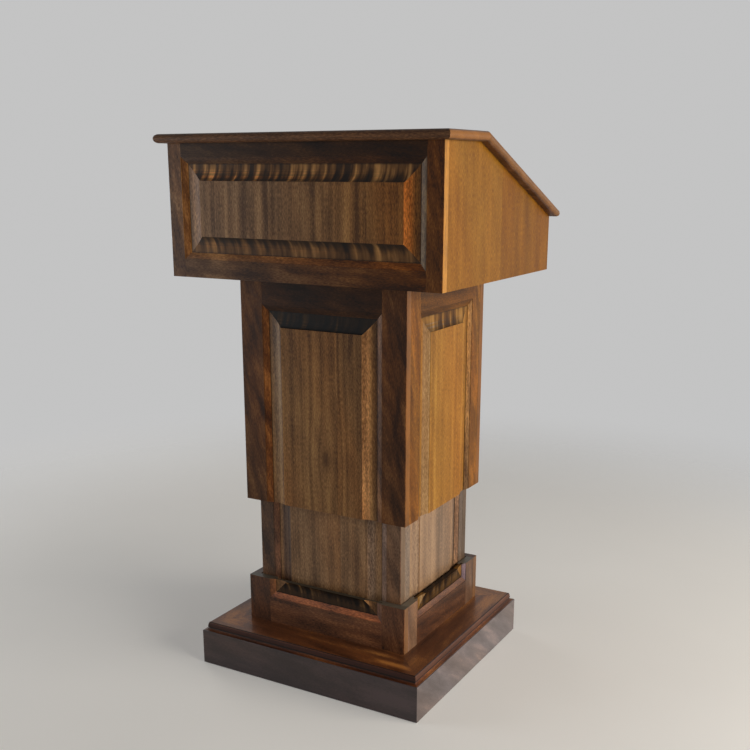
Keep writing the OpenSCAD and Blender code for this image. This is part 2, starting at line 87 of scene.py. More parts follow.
class Signal:
    """An output socket of a node that takes part in Python expressions."""

    def __init__(self, graph: "Graph", socket: bpy.types.NodeSocket) -> None:
        """Keeps the graph and the socket."""
        self.graph = graph
        self.socket = socket

    def __add__(self, other: Input) -> "Signal":
        """Adds a value."""
        return self.graph.math("ADD", self, other)

    def __sub__(self, other: Input) -> "Signal":
        """Takes a value away."""
        return self.graph.math("SUBTRACT", self, other)

    def __rsub__(self, other: Input) -> "Signal":
        """Takes this signal from a value."""
        return self.graph.math("SUBTRACT", other, self)

    def __mul__(self, other: Input) -> "Signal":
        """Multiplies by a value."""
        return self.graph.math("MULTIPLY", self, other)

    def __truediv__(self, other: Input) -> "Signal":
        """Divides by a value."""
        return self.graph.math("DIVIDE", self, other)

    def __pow__(self, other: Input) -> "Signal":
        """Raises to a power."""
        return self.graph.math("POWER", self, other)

    def __abs__(self) -> "Signal":
        """Drops the sign."""
        return self.graph.math("ABSOLUTE", self)

    __radd__ = __add__
    __rmul__ = __mul__


class Graph:
    """Adds nodes to one node tree and joins them."""

    def __init__(self, tree: bpy.types.NodeTree) -> None:
        """Empties the tree and keeps it."""
        self.tree = tree
        tree.nodes.clear()

    def add(
        self,
        kind: str,
        settings: Optional[dict[str, Any]] = None,
        inputs: Optional[dict[Union[str, int], Input]] = None,
        output: Union[str, int] = 0,
    ) -> Signal:
        """Adds a node of any type.

        Args:
            kind: Type of the node.
            settings: Settings of the node. A ramp's stops come as "stops".
            inputs: Value or link of each socket, by the socket's name or number.
            output: Name or number of the socket that is given back.

        Returns:
            The chosen output of the node.
        """
        node = self.tree.nodes.new(kind)
        for name, value in (settings or {}).items():
            if name == "stops":
                self._set_stops(node.color_ramp, value)
            else:
                setattr(node, name, value)
        for name, value in (inputs or {}).items():
            self._feed(node.inputs[name], value)
        return Signal(self, node.outputs[output])

    def _feed(self, socket: bpy.types.NodeSocket, value: Input) -> None:
        """Links a signal to a socket, or sets the socket's own value.

        Args:
            socket: Input of a node.
            value: The signal, number or colour that it takes.
        """
        if isinstance(value, Signal):
            self.tree.links.new(value.socket, socket)
        elif socket.type == "RGBA":
            socket.default_value = (*value, 1.0)
        else:
            socket.default_value = value

    @staticmethod
    def _set_stops(ramp: bpy.types.ColorRamp, stops: list[tuple[float, Colour]]) -> None:
        """Gives a colour ramp its stops.

        Args:
            ramp: The ramp.
            stops: Position and colour of each stop.
        """
        while len(ramp.elements) < len(stops):
            ramp.elements.new(1.0)
        for element, (position, colour) in zip(ramp.elements, stops):
            element.position = position
            element.color = (*colour, 1.0)

    def end(self, kind: str, inputs: dict[Union[str, int], Input]) -> None:
        """Adds a node that has no outputs, such as the tree's output.

        Args:
            kind: Type of the node.
            inputs: Value or link of each socket, by the socket's name or number.
        """
        node = self.tree.nodes.new(kind)
        for name, value in inputs.items():
            self._feed(node.inputs[name], value)

    def math(self, operation: str, *values: Input) -> Signal:
        """Adds a Math node."""
        return self.add("ShaderNodeMath", {"operation": operation}, dict(enumerate(values)))

    def vector(self, x: Input, y: Input, z: Input) -> Signal:
        """Joins three values into a vector."""
        return self.add("ShaderNodeCombineXYZ", None, {"X": x, "Y": y, "Z": z})

    def parts(self, vector: Signal) -> list[Signal]:
        """Splits a vector into its three values."""
        split = self.add("ShaderNodeSeparateXYZ", None, {"Vector": vector})
        return [Signal(self, socket) for socket in split.socket.node.outputs]

    def step(self, value: Input, low: float, high: float) -> Signal:
        """Rises smoothly from 0 to 1.

        Args:
            value: The value that it follows.
            low: Where it leaves 0.
            high: Where it reaches 1.

        Returns:
            The smooth step.
        """
        settings = {"interpolation_type": "SMOOTHSTEP", "clamp": True}
        inputs = {"Value": value, "From Min": low, "From Max": high}
        return self.add("ShaderNodeMapRange", settings, inputs)

    def mix(self, factor: Input, first: Input, second: Input, kind: str = "MIX") -> Signal:
        """Mixes two colours."""
        settings = {"data_type": "RGBA", "blend_type": kind, "clamp_factor": True}
        return self.add("ShaderNodeMix", settings, {0: factor, 6: first, 7: second}, 2)

    def times(self, first: Input, second: Input) -> Signal:
        """Multiplies two colours."""
        return self.mix(1.0, first, second, "MULTIPLY")

    def dim(self, colour: Input, factor: Input) -> Signal:
        """Scales a colour by a value."""
        inputs = {0: colour, "Scale": factor}
        return self.add("ShaderNodeVectorMath", {"operation": "SCALE"}, inputs)

    def noise(self, vector: Signal, detail: float = 2.0, rough: float = 0.5) -> Signal:
        """Samples solid noise with features about 1 unit wide, centred on 0."""
        inputs = {"Vector": vector, "Scale": 1.0, "Detail": detail, "Roughness": rough}
        return self.add("ShaderNodeTexNoise", None, inputs) - 0.5

    def line_noise(self, value: Signal, detail: float = 1.0, rough: float = 0.5) -> Signal:
        """Samples noise along a line with features about 1 unit wide, centred on 0."""
        inputs = {"W": value, "Scale": 1.0, "Detail": detail, "Roughness": rough}
        return self.add("ShaderNodeTexNoise", {"noise_dimensions": "1D"}, inputs) - 0.5

    def scatter(self, value: Input) -> Signal:
        """Gives every whole number its own value from 0 to 1."""
        settings = {"noise_dimensions": "1D"}
        return self.add("ShaderNodeTexWhiteNoise", settings, {"W": value}, "Value")

    def ramp(self, value: Signal, stops: list[tuple[float, Colour]]) -> Signal:
        """Turns a value into a colour between stops of a position and a colour."""
        return self.add("ShaderNodeValToRGB", {"stops": stops}, {"Fac": value})

    def bump(self, height: Signal, strength: float, distance: float) -> Signal:
        """Turns a height into a direction of the surface."""
        inputs = {"Strength": strength, "Distance": distance, "Height": height}
        return self.add("ShaderNodeBump", None, inputs)

    def surface(self, inputs: dict[str, Input]) -> None:
        """Ends a material with the Principled shader that has these inputs."""
        shader = self.add("ShaderNodeBsdfPrincipled", None, inputs)
        self.end("ShaderNodeOutputMaterial", {"Surface": shader})


def shader_graph(name: str) -> tuple[bpy.types.Material, Graph]:
    """Makes an empty material.

    Args:
        name: Name of the material.

    Returns:
        The material, and the graph of its nodes.
    """
    material = bpy.data.materials.new(name)
    material.use_nodes = True
    return material, Graph(material.node_tree)


# Boards


class Axis(Enum):
    """Direction in the object, as a place in a vector."""

    X = 0
    Y = 1
    Z = 2


class Face(Enum):
    """Side that a board shows: the axis it looks along, and which way."""

    FRONT = (Axis.Y, -1)
    RIGHT = (Axis.X, 1)
    REAR = (Axis.Y, 1)
    LEFT = (Axis.X, -1)
    TOP = (Axis.Z, 1)

    @property
    def wide(self) -> bool:
        """Whether this is the front or the rear, the wide sides."""
        return self.value[0] is Axis.Y


# In the order that the seeds of a column's and the base's boards go round
SIDES = (Face.FRONT, Face.RIGHT, Face.REAR, Face.LEFT)


@dataclass(frozen=True)
class Knot:
    """A pin knot.

    Attributes:
        across: Its middle across the board.
        along: Its middle along the board.
        radius: Half its width.
    """

    across: float
    along: float
    radius: float


@dataclass(frozen=True)
class Patch:
    """A soft lighter or darker place in a board's figure.

    Attributes:
        across: Its middle across the board.
        along: Its middle along the board.
        wide: Half its width across the board.
        long: Half its length along the board.
        lift: How much lighter it is, below 0 for darker.
        slant: How far it drifts across for each step along the board.
    """

    across: float
    along: float
    wide: float
    long: float
    lift: float
    slant: float = 0.0


@dataclass(frozen=True)
class Raised:
    """Raised field of a panel, with a cove on its sides and on the ends that have one.

    Attributes:
        low_end: Whether there is a cove at the low end.
        high_end: Whether there is a cove at the high end.
        cove: Width of the cove.
        tongue: How far the panel's tongue goes into the frame.
        dusk: How much darker this panel's end coves are than the finish has them; on the sleeve it
            is the head's painted shadow.
        calm: How much softer the streaks are in the low end's cove.
    """

    low_end: bool = True
    high_end: bool = True
    cove: float = 0.035
    tongue: float = 0.0075
    dusk: float = 0.0
    calm: float = 0.0


@dataclass(frozen=True)
class Cut:
    """How a board was cut from the log and glued up, in metres.

    Attributes:
        grain: Direction of the grain.
        face: Side that shows.
        seed: Number that sets this board's own figure apart.
        shade: How light this board is beside the finish.
        lean: How far the growth planes shift across for each step into the board.
        skew: How far the figure drifts across for each step along the board.
        seams: Places across the board of its glue lines.
        spread: How much the glued boards differ in tone.
        lifts: How much lighter the board past each glue line is, below 0 for darker.
        knots: Pin knots.
        patches: Lighter and darker places.
        raised: The raised field, on a panel.
        edge: Colour of the outer edges, where they differ from the face.
        ends: Colour of the ends, where they aren't dark.
        lip: Tint of a moulded edge that turns to the low side of the board, against the face:
            partly the wood's own tone, partly painted light and sheen by the way it turns.
        far_lip: The same for one that turns to the high side.
        shadow_lines: Height and half width of each dark line of painted shadow in a recess of a
            moulding.
        painted_sheen: Whether the wood takes painted sheen tints: greyer at the lectern's left,
            where a lamp's sheen is painted, and redder at its right.
    """

    grain: Axis
    face: Face
    seed: float
    shade: float = 1.0
    lean: float = 1.6
    skew: float = 0.0
    seams: tuple[float, ...] = ()
    spread: float = 0.3
    lifts: tuple[float, ...] = ()
    knots: tuple[Knot, ...] = ()
    patches: tuple[Patch, ...] = ()
    raised: Optional[Raised] = None
    edge: Optional[Colour] = None
    ends: Optional[Colour] = None
    lip: Optional[Colour] = None
    far_lip: Optional[Colour] = None
    shadow_lines: tuple[tuple[float, float], ...] = ()
    painted_sheen: bool = False

    @property
    def across(self) -> Axis:
        """Direction across the grain, in the face."""
        return next(a for a in Axis if a not in (self.grain, self.face.value[0]))


class Board:
    """A board as its material sees it: where a point lies in it, and which way it faces.

    Attributes:
        g: Graph of the material.
        cut: How the board was cut.
        low: Lowest corner of its node.
        high: Highest corner of its node.
        place: The point's place.
        normal: Direction of the surface there.
        across: Place across the grain.
        along: Place along the grain.
        depth: Distance behind the face.
        facing: 1 where the surface lies like the face, 0 where it stands square to it.
    """

    # Distances from its middle between which a glue line fades out
    GLUE_LINE = (0.0002, 0.0007)
    # Reach of a knot and of its heart across and along the board, in radii of the knot
    KNOT_REACH = (4.0, 11.0)
    KNOT_HEART = (1.0, 2.2)
    KNOT_BEND = -3.2
    # Distances from the joint between which its dark line fades out, and widths of its painted
    # shades
    JOINT_LINE = (0.0006, 0.0032)
    JOINT_SHADE = 0.012
    FAR_SHADE = 0.018
    # How dark the line, the painted shade and the far side's painted shade are
    JOINT_DARKNESS = (0.85, 0.25, 0.35)

    def __init__(self, g: Graph, node: str, cut: Cut) -> None:
        """Reads the point's place and the direction of the surface.

        Args:
            g: Graph of the material.
            node: Name of the board's node.
            cut: How the board was cut.
        """
        self.g = g
        self.cut = cut
        self.low, self.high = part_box(node)
        self.place = g.parts(g.add("ShaderNodeTexCoord", output="Object"))
        self.normal = g.parts(g.add("ShaderNodeNewGeometry", output="True Normal"))
        self.across = self.place[cut.across.value]
        self.along = self.place[cut.grain.value]
        axis, way = cut.face.value
        face = self.high[axis.value] if way > 0 else self.low[axis.value]
        self.depth = (face - self.place[axis.value]) * way
        self.facing = abs(self.normal[axis.value])

    def glued(self) -> tuple[Signal, Input]:
        """Finds the glued board that the point is in.

        Returns:
            A number from 0 to 1 that each glued board has of its own, and 1 on a glue line.
        """
        g = self.g
        index: Input = self.cut.seed
        line: Input = 0.0
        for seam in self.cut.seams:
            index = g.math("GREATER_THAN", self.across, seam) + index
            line = g.math("MAXIMUM", line, 1 - g.step(abs(self.across - seam), *self.GLUE_LINE))
        return g.scatter(index), line

    def lift(self, patch: Patch) -> Signal:
        """Gives how much lighter a patch makes the point.

        Args:
            patch: The lighter or darker place.

        Returns:
            Its lift at the point.
        """
        up = self.along - patch.along
        side = (self.across - patch.across - up * patch.slant) / patch.wide
        return self._fade(side, up / patch.long) * patch.lift

    def bend(self, knot: Knot) -> Signal:
        """Gives how far a knot bends the growth bands at the point."""
        side, up = self._from_knot(knot, *self.KNOT_REACH)
        return self._fade(side, up) * side * (knot.radius * self.KNOT_BEND)

    def heart(self, knot: Knot) -> Signal:
        """Gives 1 in the dark heart of a knot."""
        side, up = self._from_knot(knot, *self.KNOT_HEART)
        return 1 - self.g.step(side * side + up * up, 0.0, 2.0)

    def _fade(self, side: Signal, up: Signal) -> Signal:
        """Falls softly from 1 in the middle of a round place."""
        return self.g.math("EXPONENT", (side * side + up * up) * -1.0)

    def _from_knot(self, knot: Knot, wide: float, long: float) -> tuple[Signal, Signal]:
        """Measures how far the point lies from a knot, across and along.

        Args:
            knot: The knot.
            wide: Unit across the board, in radii of the knot.
            long: Unit along the board, in radii of the knot.

        Returns:
            The distances across and along, in these units.
        """
        side = (self.across - knot.across) / (knot.radius * wide)
        up = (self.along - knot.along) / (knot.radius * long)
        return side, up

    def end_cove(self) -> tuple[Signal, Signal]:
        """Finds the coves that cut across the grain.

        Returns:
            1 in an end cove and 0 elsewhere, and the distance from the field over the cove's
            width.
        """
        g, raised = self.g, self.cut.raised
        across, along = self.cut.across.value, self.cut.grain.value
        rim = raised.cove + raised.tongue
        near_side = self.low[across] + rim - self.across
        side = g.math("MAXIMUM", near_side, self.across - self.high[across] + rim)
        ends = []
        if raised.low_end:
            ends.append(self.low[along] + rim - self.along)
        if raised.high_end:
            ends.append(self.along - self.high[along] + rim)
        end = g.math("MAXIMUM", ends[0], ends[-1])
        inside = g.math("GREATER_THAN", end, 0.0) * g.math("GREATER_THAN", end, side)
        return inside, end / raised.cove

    def joint(self) -> Signal:
        """Finds the panel's joint with its frame.

        Returns:
            How dark the panel is there, from its dark joint line and the painted shade beside it: 1
            at the joint, 0 some way off.
        """
        g, raised = self.g, self.cut.raised
        across, along = self.cut.across.value, self.cut.grain.value
        far = self.high[across] - self.across
        near = g.math("MINIMUM", self.across - self.low[across], far)
        if raised.low_end:
            near = g.math("MINIMUM", near, self.along - self.low[along])
        if raised.high_end:
            near = g.math("MINIMUM", near, self.high[along] - self.along)
        start, end = self.JOINT_LINE
        line = 1 - g.step(near, raised.tongue + start, raised.tongue + end)
        # Painted shade beside the joint, and a wider painted shade on its far side
        soft = 1 - g.step(near, raised.tongue, raised.tongue + self.JOINT_SHADE)
        heavy = 1 - g.step(far, raised.tongue, raised.tongue + self.FAR_SHADE)
        of_line, of_shade, of_far_shade = self.JOINT_DARKNESS
        return line * of_line + soft * of_shade + heavy * of_far_shade


# Finishes


class Figure(NamedTuple):
    """Figure of a board.

    Attributes:
        growth: Place across the growth bands, in metres.
        tone: Lightness of the wood: 0 for its dark colour, 1 for its light one.
        warm: How far its hue leans to red, below 0 for grey.
        fine: Fine growth lines.
        mottle: Fine speckle.
        pores: 1 in a pore.
    """

    growth: Signal
    tone: Signal
    warm: Signal
    fine: Signal
    mottle: Signal
    pores: Signal


@dataclass(frozen=True)
class Walnut:
    """Oiled walnut.

    Attributes:
        dark: Colour of the darkest growth.
        mid: Colour of most of the board.
        light: Colour of the lightest growth.
        glow: Colour of the bright streaks where a cove cuts across the grain.
        burn: How dark such a cove is between its streaks.
        band: Width of a growth band on the face, in metres.
        ribbon: Strength of the bands.
        cloud: Strength of the soft wandering figure.
        fleck: Strength of the fine mottle.
        warmth: How much the hue wanders between grey and red.
        grime_and_shade: Darkness of a panel's joint with its frame, from dirt and painted shade,
            and of the painted shade in a moulding's quirk.
        roughness: Roughness of the oiled surface.
        gloss: Specular level of the surface.
        coat: Weight of the lacquer on the flat faces, 0 for bare oil.
        sheen_left: Tint of the wood at the lectern's left, a painted grey sheen of the lamp at that
            side.
        sheen_right: The same at its right, redder where the painted sheen gives way.
    """

    dark: Colour
    mid: Colour
    light: Colour
    glow: Colour = srgb(184, 138, 84)
    burn: float = 0.6
    band: float = 0.018
    ribbon: float = 1.0
    cloud: float = 0.4
    fleck: float = 1.0
    warmth: float = 1.0
    grime_and_shade: float = 0.6
    roughness: float = 0.4
    gloss: float = 0.45
    coat: float = 0.0
    sheen_left: Colour = (1.2, 1.42, 1.85)
    sheen_right: Colour = (1.2, 1.07, 0.74)

    # How far apart in the log glued boards lie, and boards of another seed: across, along
    BOARD_STEP: ClassVar[tuple[float, float]] = (5.3, 9.1)
    SEED_STEP: ClassVar[tuple[float, float]] = (1.9, 3.7)
    # Solid noise: features per metre across and along the board, detail, roughness of detail
    SWAY: ClassVar[tuple[float, ...]] = (2.3, 0.8, 1.0, 0.5)
    RIPPLE: ClassVar[tuple[float, ...]] = (15.0, 3.0, 2.0, 0.5)
    MOTTLE: ClassVar[tuple[float, ...]] = (520.0, 130.0, 1.5, 0.55)
    PORES: ClassVar[tuple[float, ...]] = (900.0, 45.0, 1.0, 0.5)
    # Range of the noise over which a pore begins
    PORE_EDGE: ClassVar[tuple[float, float]] = (0.08, 0.22)
    # How far sway and ripple bend the growth bands, in metres
    SWAY_REACH: ClassVar[float] = 0.06
    RIPPLE_REACH: ClassVar[float] = 0.005
    # Widths of the fine lines and the dark lines, beside the growth bands
    FINE_WIDTH: ClassVar[float] = 0.2
    LINE_WIDTH: ClassVar[float] = 1.4
    # Weights in the tone
    BROAD_WEIGHT: ClassVar[float] = 1.5
    FINE_WEIGHT: ClassVar[float] = 0.5
    LINE_WEIGHT: ClassVar[float] = 0.22
    CLOUD_WEIGHT: ClassVar[float] = 2.0
    MOTTLE_WEIGHT: ClassVar[float] = 1.7
    PORES_WEIGHT: ClassVar[float] = 0.08
    GLUE_WEIGHT: ClassVar[float] = 0.35
    # Widths of the streaks in an end cove, in metres
    STREAK_GROUP: ClassVar[float] = 0.08
    STREAK: ClassVar[float] = 0.017
    STREAK_SPLIT: ClassVar[float] = 0.0055
    # Depths behind the face between which painted shade darkens the quirk of a moulding
    QUIRK_TOP: ClassVar[tuple[float, float]] = (0.0001, 0.0004)
    QUIRK_FOOT: ClassVar[tuple[float, float]] = (0.0007, 0.0014)
    # How much of grime_and_shade the quirk's painted shade takes, and how light the darkest joint
    # stays
    QUIRK_SHARE: ClassVar[float] = 0.7
    JOINT_FLOOR: ClassVar[float] = 0.1
    # Half the lectern's width, over which the painted sheen tints change
    HALF_WIDTH: ClassVar[float] = 0.33
    # Tints of the greyest and the reddest wood, and the range of the hue between them
    COOL: ClassVar[Colour] = (0.94, 1.0, 1.10)
    WARM: ClassVar[Colour] = (1.06, 0.97, 0.88)
    HUE_RANGE: ClassVar[tuple[float, float]] = (-0.16, 0.16)
    # Strength of a knot's heart and of a painted shadow line, and how light they are beside the
    # dark
    KNOT_STRENGTH: ClassVar[float] = 0.6
    KNOT_SHADE: ClassVar[float] = 0.8
    SHADOW_LINE_STRENGTH: ClassVar[float] = 0.93
    SHADOW_LINE_SHADE: ClassVar[float] = 0.2
    # Edge of a painted shadow line, in its half widths
    SHADOW_LINE_EDGE: ClassVar[tuple[float, float]] = (0.6, 1.2)
    # Streaks of an end cove: lean, weights of group, streak, split and drift, drift's features
    # per metre across and along, and the tone that they vary round
    COVE_LEAN: ClassVar[float] = 1.3
    COVE_WEIGHTS: ClassVar[tuple[float, ...]] = (1.2, 1.6, 0.6, 1.2)
    COVE_DRIFT: ClassVar[tuple[float, float]] = (70.0, 26.0)
    COVE_TONE: ClassVar[float] = 0.4
    # Where the shade of an end cove ends, from the field's edge, in widths of the cove, and its
    # strength: partly darker end grain, partly painted shade
    COVE_SHADE: ClassVar[tuple[float, float]] = (0.05, 0.7)
    COVE_BURN: ClassVar[float] = 1.35
    # How squarely a surface faces: moulded, or an outer edge, or an end of a panel or a board
    MOULDED: ClassVar[tuple[float, float]] = (0.30, 0.45)
    OUTER_EDGE: ClassVar[tuple[float, float]] = (0.80, 0.97)
    PANEL_END: ClassVar[tuple[float, float]] = (0.96, 0.99)
    BOARD_END: ClassVar[tuple[float, float]] = (0.45, 0.80)
    # Strength of the ends' colour, and how light they are where the cut gives them none
    END_STRENGTH: ClassVar[float] = 0.85
    END_SHADE: ClassVar[float] = 0.45
    # How squarely a surface faces to have lacquer, and the lacquer's roughness
    LACQUERED: ClassVar[tuple[float, float]] = (0.9, 0.98)
    COAT_ROUGHNESS: ClassVar[float] = 0.12
    # Strength of the bump, and its height in metres
    BUMP: ClassVar[tuple[float, float]] = (0.22, 0.0003)
    # How squarely a surface faces where the flat face begins, for a lip and for a far lip
    LIP_FLAT: ClassVar[tuple[float, float]] = (0.996, 0.9998)
    FAR_LIP_FLAT: ClassVar[tuple[float, float]] = (0.98, 0.9992)

    def material(self, node: str, cut: Cut) -> bpy.types.Material:
        """Makes the material of one CAD node.

        Args:
            node: Name of the node.
            cut: How its boards lie.

        Returns:
            The material.
        """
        material, g = shader_graph("walnut_" + node)
        board = Board(g, node, cut)
        figure = self._figure(board)
        height = figure.mottle - figure.pores * 0.8 + figure.fine * 0.4
        lacquer = g.step(board.facing, *self.LACQUERED) * self.coat if self.coat else 0.0
        g.surface(
            {
                "Base Color": self._colour(board, figure),
                "Roughness": figure.mottle * 0.12 - figure.pores * 0.03 + self.roughness,
                "Specular IOR Level": self.gloss,
                "Coat Weight": lacquer,
                "Coat Roughness": self.COAT_ROUGHNESS,
                "Normal": g.bump(height, *self.BUMP),
            }
        )
        return material

    def _figure(self, board: Board) -> Figure:
        """Draws the growth bands, the clouds, the mottle and the pores.

        Args:
            board: The board.

        Returns:
            Its figure.
        """
        g, cut, depth = board.g, board.cut, board.depth
        shift, seam = board.glued()
        plank = board.across + shift * self.BOARD_STEP[0] + cut.seed * self.SEED_STEP[0]
        along = board.along + shift * self.BOARD_STEP[1] + cut.seed * self.SEED_STEP[1]

        def solid(wide: float, long: float, detail: float, rough: float) -> Signal:
            """Samples solid noise in the board."""
            return g.noise(g.vector(plank * wide, depth * wide, along * long), detail, rough)

        sway, ripple = solid(*self.SWAY), solid(*self.RIPPLE)
        growth = plank - depth * cut.lean + along * cut.skew
        growth = growth + sway * self.SWAY_REACH + ripple * self.RIPPLE_REACH
        for knot in cut.knots:
            growth = growth + board.bend(knot)
        broad = g.line_noise(growth / self.band, 1.5)
        fine = g.line_noise(growth / (self.band * self.FINE_WIDTH) + 31.0, 2.0, 0.6)
        lines = g.line_noise(growth / (self.band * self.LINE_WIDTH) + 7.0, 0.5)
        line = 1 - g.step(abs(lines), 0.0, 0.03)
        drift = plank + along * (cut.skew + 0.12)
        cloud = g.noise(g.vector(drift * 32, depth * 32, along * 8 + sway * 3), 3.0, 0.55)
        mottle = solid(*self.MOTTLE)
        pores = g.step(solid(*self.PORES), *self.PORE_EDGE)
        bands = broad * self.BROAD_WEIGHT + fine * self.FINE_WEIGHT - line * self.LINE_WEIGHT
        tone = bands * self.ribbon + cloud * self.cloud * self.CLOUD_WEIGHT
        tone = tone + mottle * (self.MOTTLE_WEIGHT * self.fleck)
        tone = tone - pores * (self.PORES_WEIGHT * self.fleck) + 0.5
        tone = tone + (shift - 0.5) * cut.spread - seam * self.GLUE_WEIGHT
        for seam_place, lift in zip(cut.seams, cut.lifts):
            tone = tone + g.math("GREATER_THAN", board.across, seam_place) * lift
        for patch in cut.patches:
            tone = tone + board.lift(patch)
        warm = g.noise(g.vector(drift * 9 + 40, depth * 9, along * 1.6)) * self.warmth
        return Figure(growth, tone, warm, fine, mottle, pores)

    def _colour(self, board: Board, figure: Figure) -> Signal:
        """Colours the board.

        Args:
            board: The board.
            figure: Its figure.

        Returns:
            Its colour.
        """
        g, cut, depth = board.g, board.cut, board.depth
        stops = [(0.0, self.dark), (0.5, self.mid), (1.0, self.light)]
        colour = g.ramp(figure.tone, stops)
        redness = g.step(figure.warm, *self.HUE_RANGE)
        colour = g.times(colour, g.mix(redness, self.COOL, self.WARM))
        # Painted sheen: greyer at the lectern's left, redder at its right
        if cut.painted_sheen:
            turn = g.step(board.place[Axis.X.value], -self.HALF_WIDTH, self.HALF_WIDTH)
            colour = g.times(colour, g.mix(turn, self.sheen_left, self.sheen_right))
        for knot in cut.knots:
            heart = board.heart(knot) * self.KNOT_STRENGTH
            colour = g.mix(heart, colour, scaled(self.dark, self.KNOT_SHADE))
        if cut.raised:
            if cut.raised.low_end or cut.raised.high_end:
                colour = self._end_cove(board, figure.growth, colour)
            # Darkens the panel by its joint: a dark joint line, dirt, and painted shade beside it
            free_of_grime_and_shade = g.math("MAXIMUM", 1 - board.joint() * self.grime_and_shade, self.JOINT_FLOOR)
            colour = g.dim(colour, free_of_grime_and_shade)
        else:
            # Painted shade in the quirk of a moulding
            quirk = g.step(depth, *self.QUIRK_TOP) * (1 - g.step(depth, *self.QUIRK_FOOT))
            colour = g.dim(colour, 1 - quirk * (self.grime_and_shade * self.QUIRK_SHARE))
        colour = self._outside(board, colour, figure.tone)
        # Dark lines of painted shadow in the recesses of a moulding
        for height, half in cut.shadow_lines:
            off = abs(board.place[Axis.Z.value] - height)
            in_shadow_line = 1 - g.step(off, *(half * reach for reach in self.SHADOW_LINE_EDGE))
            shadow_line_colour = scaled(self.dark, self.SHADOW_LINE_SHADE)
            colour = g.mix(in_shadow_line * self.SHADOW_LINE_STRENGTH, colour, shadow_line_colour)
        return g.dim(colour, cut.shade)

    def _end_cove(self, board: Board, growth: Signal, colour: Signal) -> Signal:
        """Streaks the coves that cut across the grain.

        Args:
            board: The panel.
            growth: Place across the growth bands.
            colour: Colour of the rest of the panel.

        Returns:
            The colour with the streaks.
        """
        g, cut = board.g, board.cut
        inside, reach = board.end_cove()
        slip = growth + board.depth * (cut.lean - self.COVE_LEAN)
        group = g.line_noise(slip / self.STREAK_GROUP + 11.0, 0.0)
        streak = g.line_noise(slip / self.STREAK + 3.0)
        split = g.line_noise(slip / self.STREAK_SPLIT + 17.0)
        wide, long = self.COVE_DRIFT
        drift = g.noise(g.vector(slip * wide, board.along * long, cut.seed), 2.0, 0.55)
        middle = (board.low + board.high)[cut.grain.value] / 2
        at_low = g.math("LESS_THAN", board.along, middle)
        parts = zip((group, streak, split, drift), self.COVE_WEIGHTS)
        tone = sum((part * weight for part, weight in parts), 0.0)
        tone = tone * (1 - at_low * cut.raised.calm) + self.COVE_TONE
        dark, mid = scaled(self.dark, 1 - self.burn), scaled(self.mid, 1 - self.burn * 0.5)
        streaks = g.ramp(tone, [(0.0, dark), (0.5, mid), (1.0, self.glow)])
        # Darker towards the field: partly end grain, partly painted shade
        buried = 1 - g.step(reach + drift * 0.7 + streak * 0.9, *self.COVE_SHADE)
        light = (1 - buried * (self.burn * self.COVE_BURN)) * (1 - cut.raised.dusk)
        return g.mix(inside, colour, g.dim(streaks, light))

    def _outside(self, board: Board, colour: Signal, tone: Signal) -> Signal:
        """Colours the moulded edges, with their painted light and sheen, the outer edges and the
        end grain.

        Args:
            board: The board.
            colour: Colour of the face.
            tone: Lightness of the figure.

        Returns:
            The colour with its edges and ends.
        """
        g, cut = board.g, board.cut
        sideways = board.normal[cut.across.value]
        endways = abs(board.normal[cut.grain.value])
        # Tints of moulded edges by the way they turn: partly the wood's own tone, partly painted
        # light and sheen
        for tint, way, flat in ((cut.lip, -1, self.LIP_FLAT), (cut.far_lip, 1, self.FAR_LIP_FLAT)):
            if tint:
                moulded = g.step(board.facing, *self.MOULDED) * (1 - g.step(board.facing, *flat))
                turned = moulded * g.math("GREATER_THAN", sideways * way, 0.0)
                colour = g.mix(turned, colour, g.times(colour, tint))
        if cut.edge:
            outer = g.step(abs(sideways), *self.OUTER_EDGE)
            colour = g.mix(outer, colour, g.dim(cut.edge, tone * 0.6 + 0.7))
        end = g.step(endways, *(self.PANEL_END if cut.raised else self.BOARD_END))
        ends = g.dim(cut.ends, tone * 0.4 + 0.8) if cut.ends else g.dim(colour, self.END_SHADE)
        return g.mix(end * self.END_STRENGTH, colour, ends)


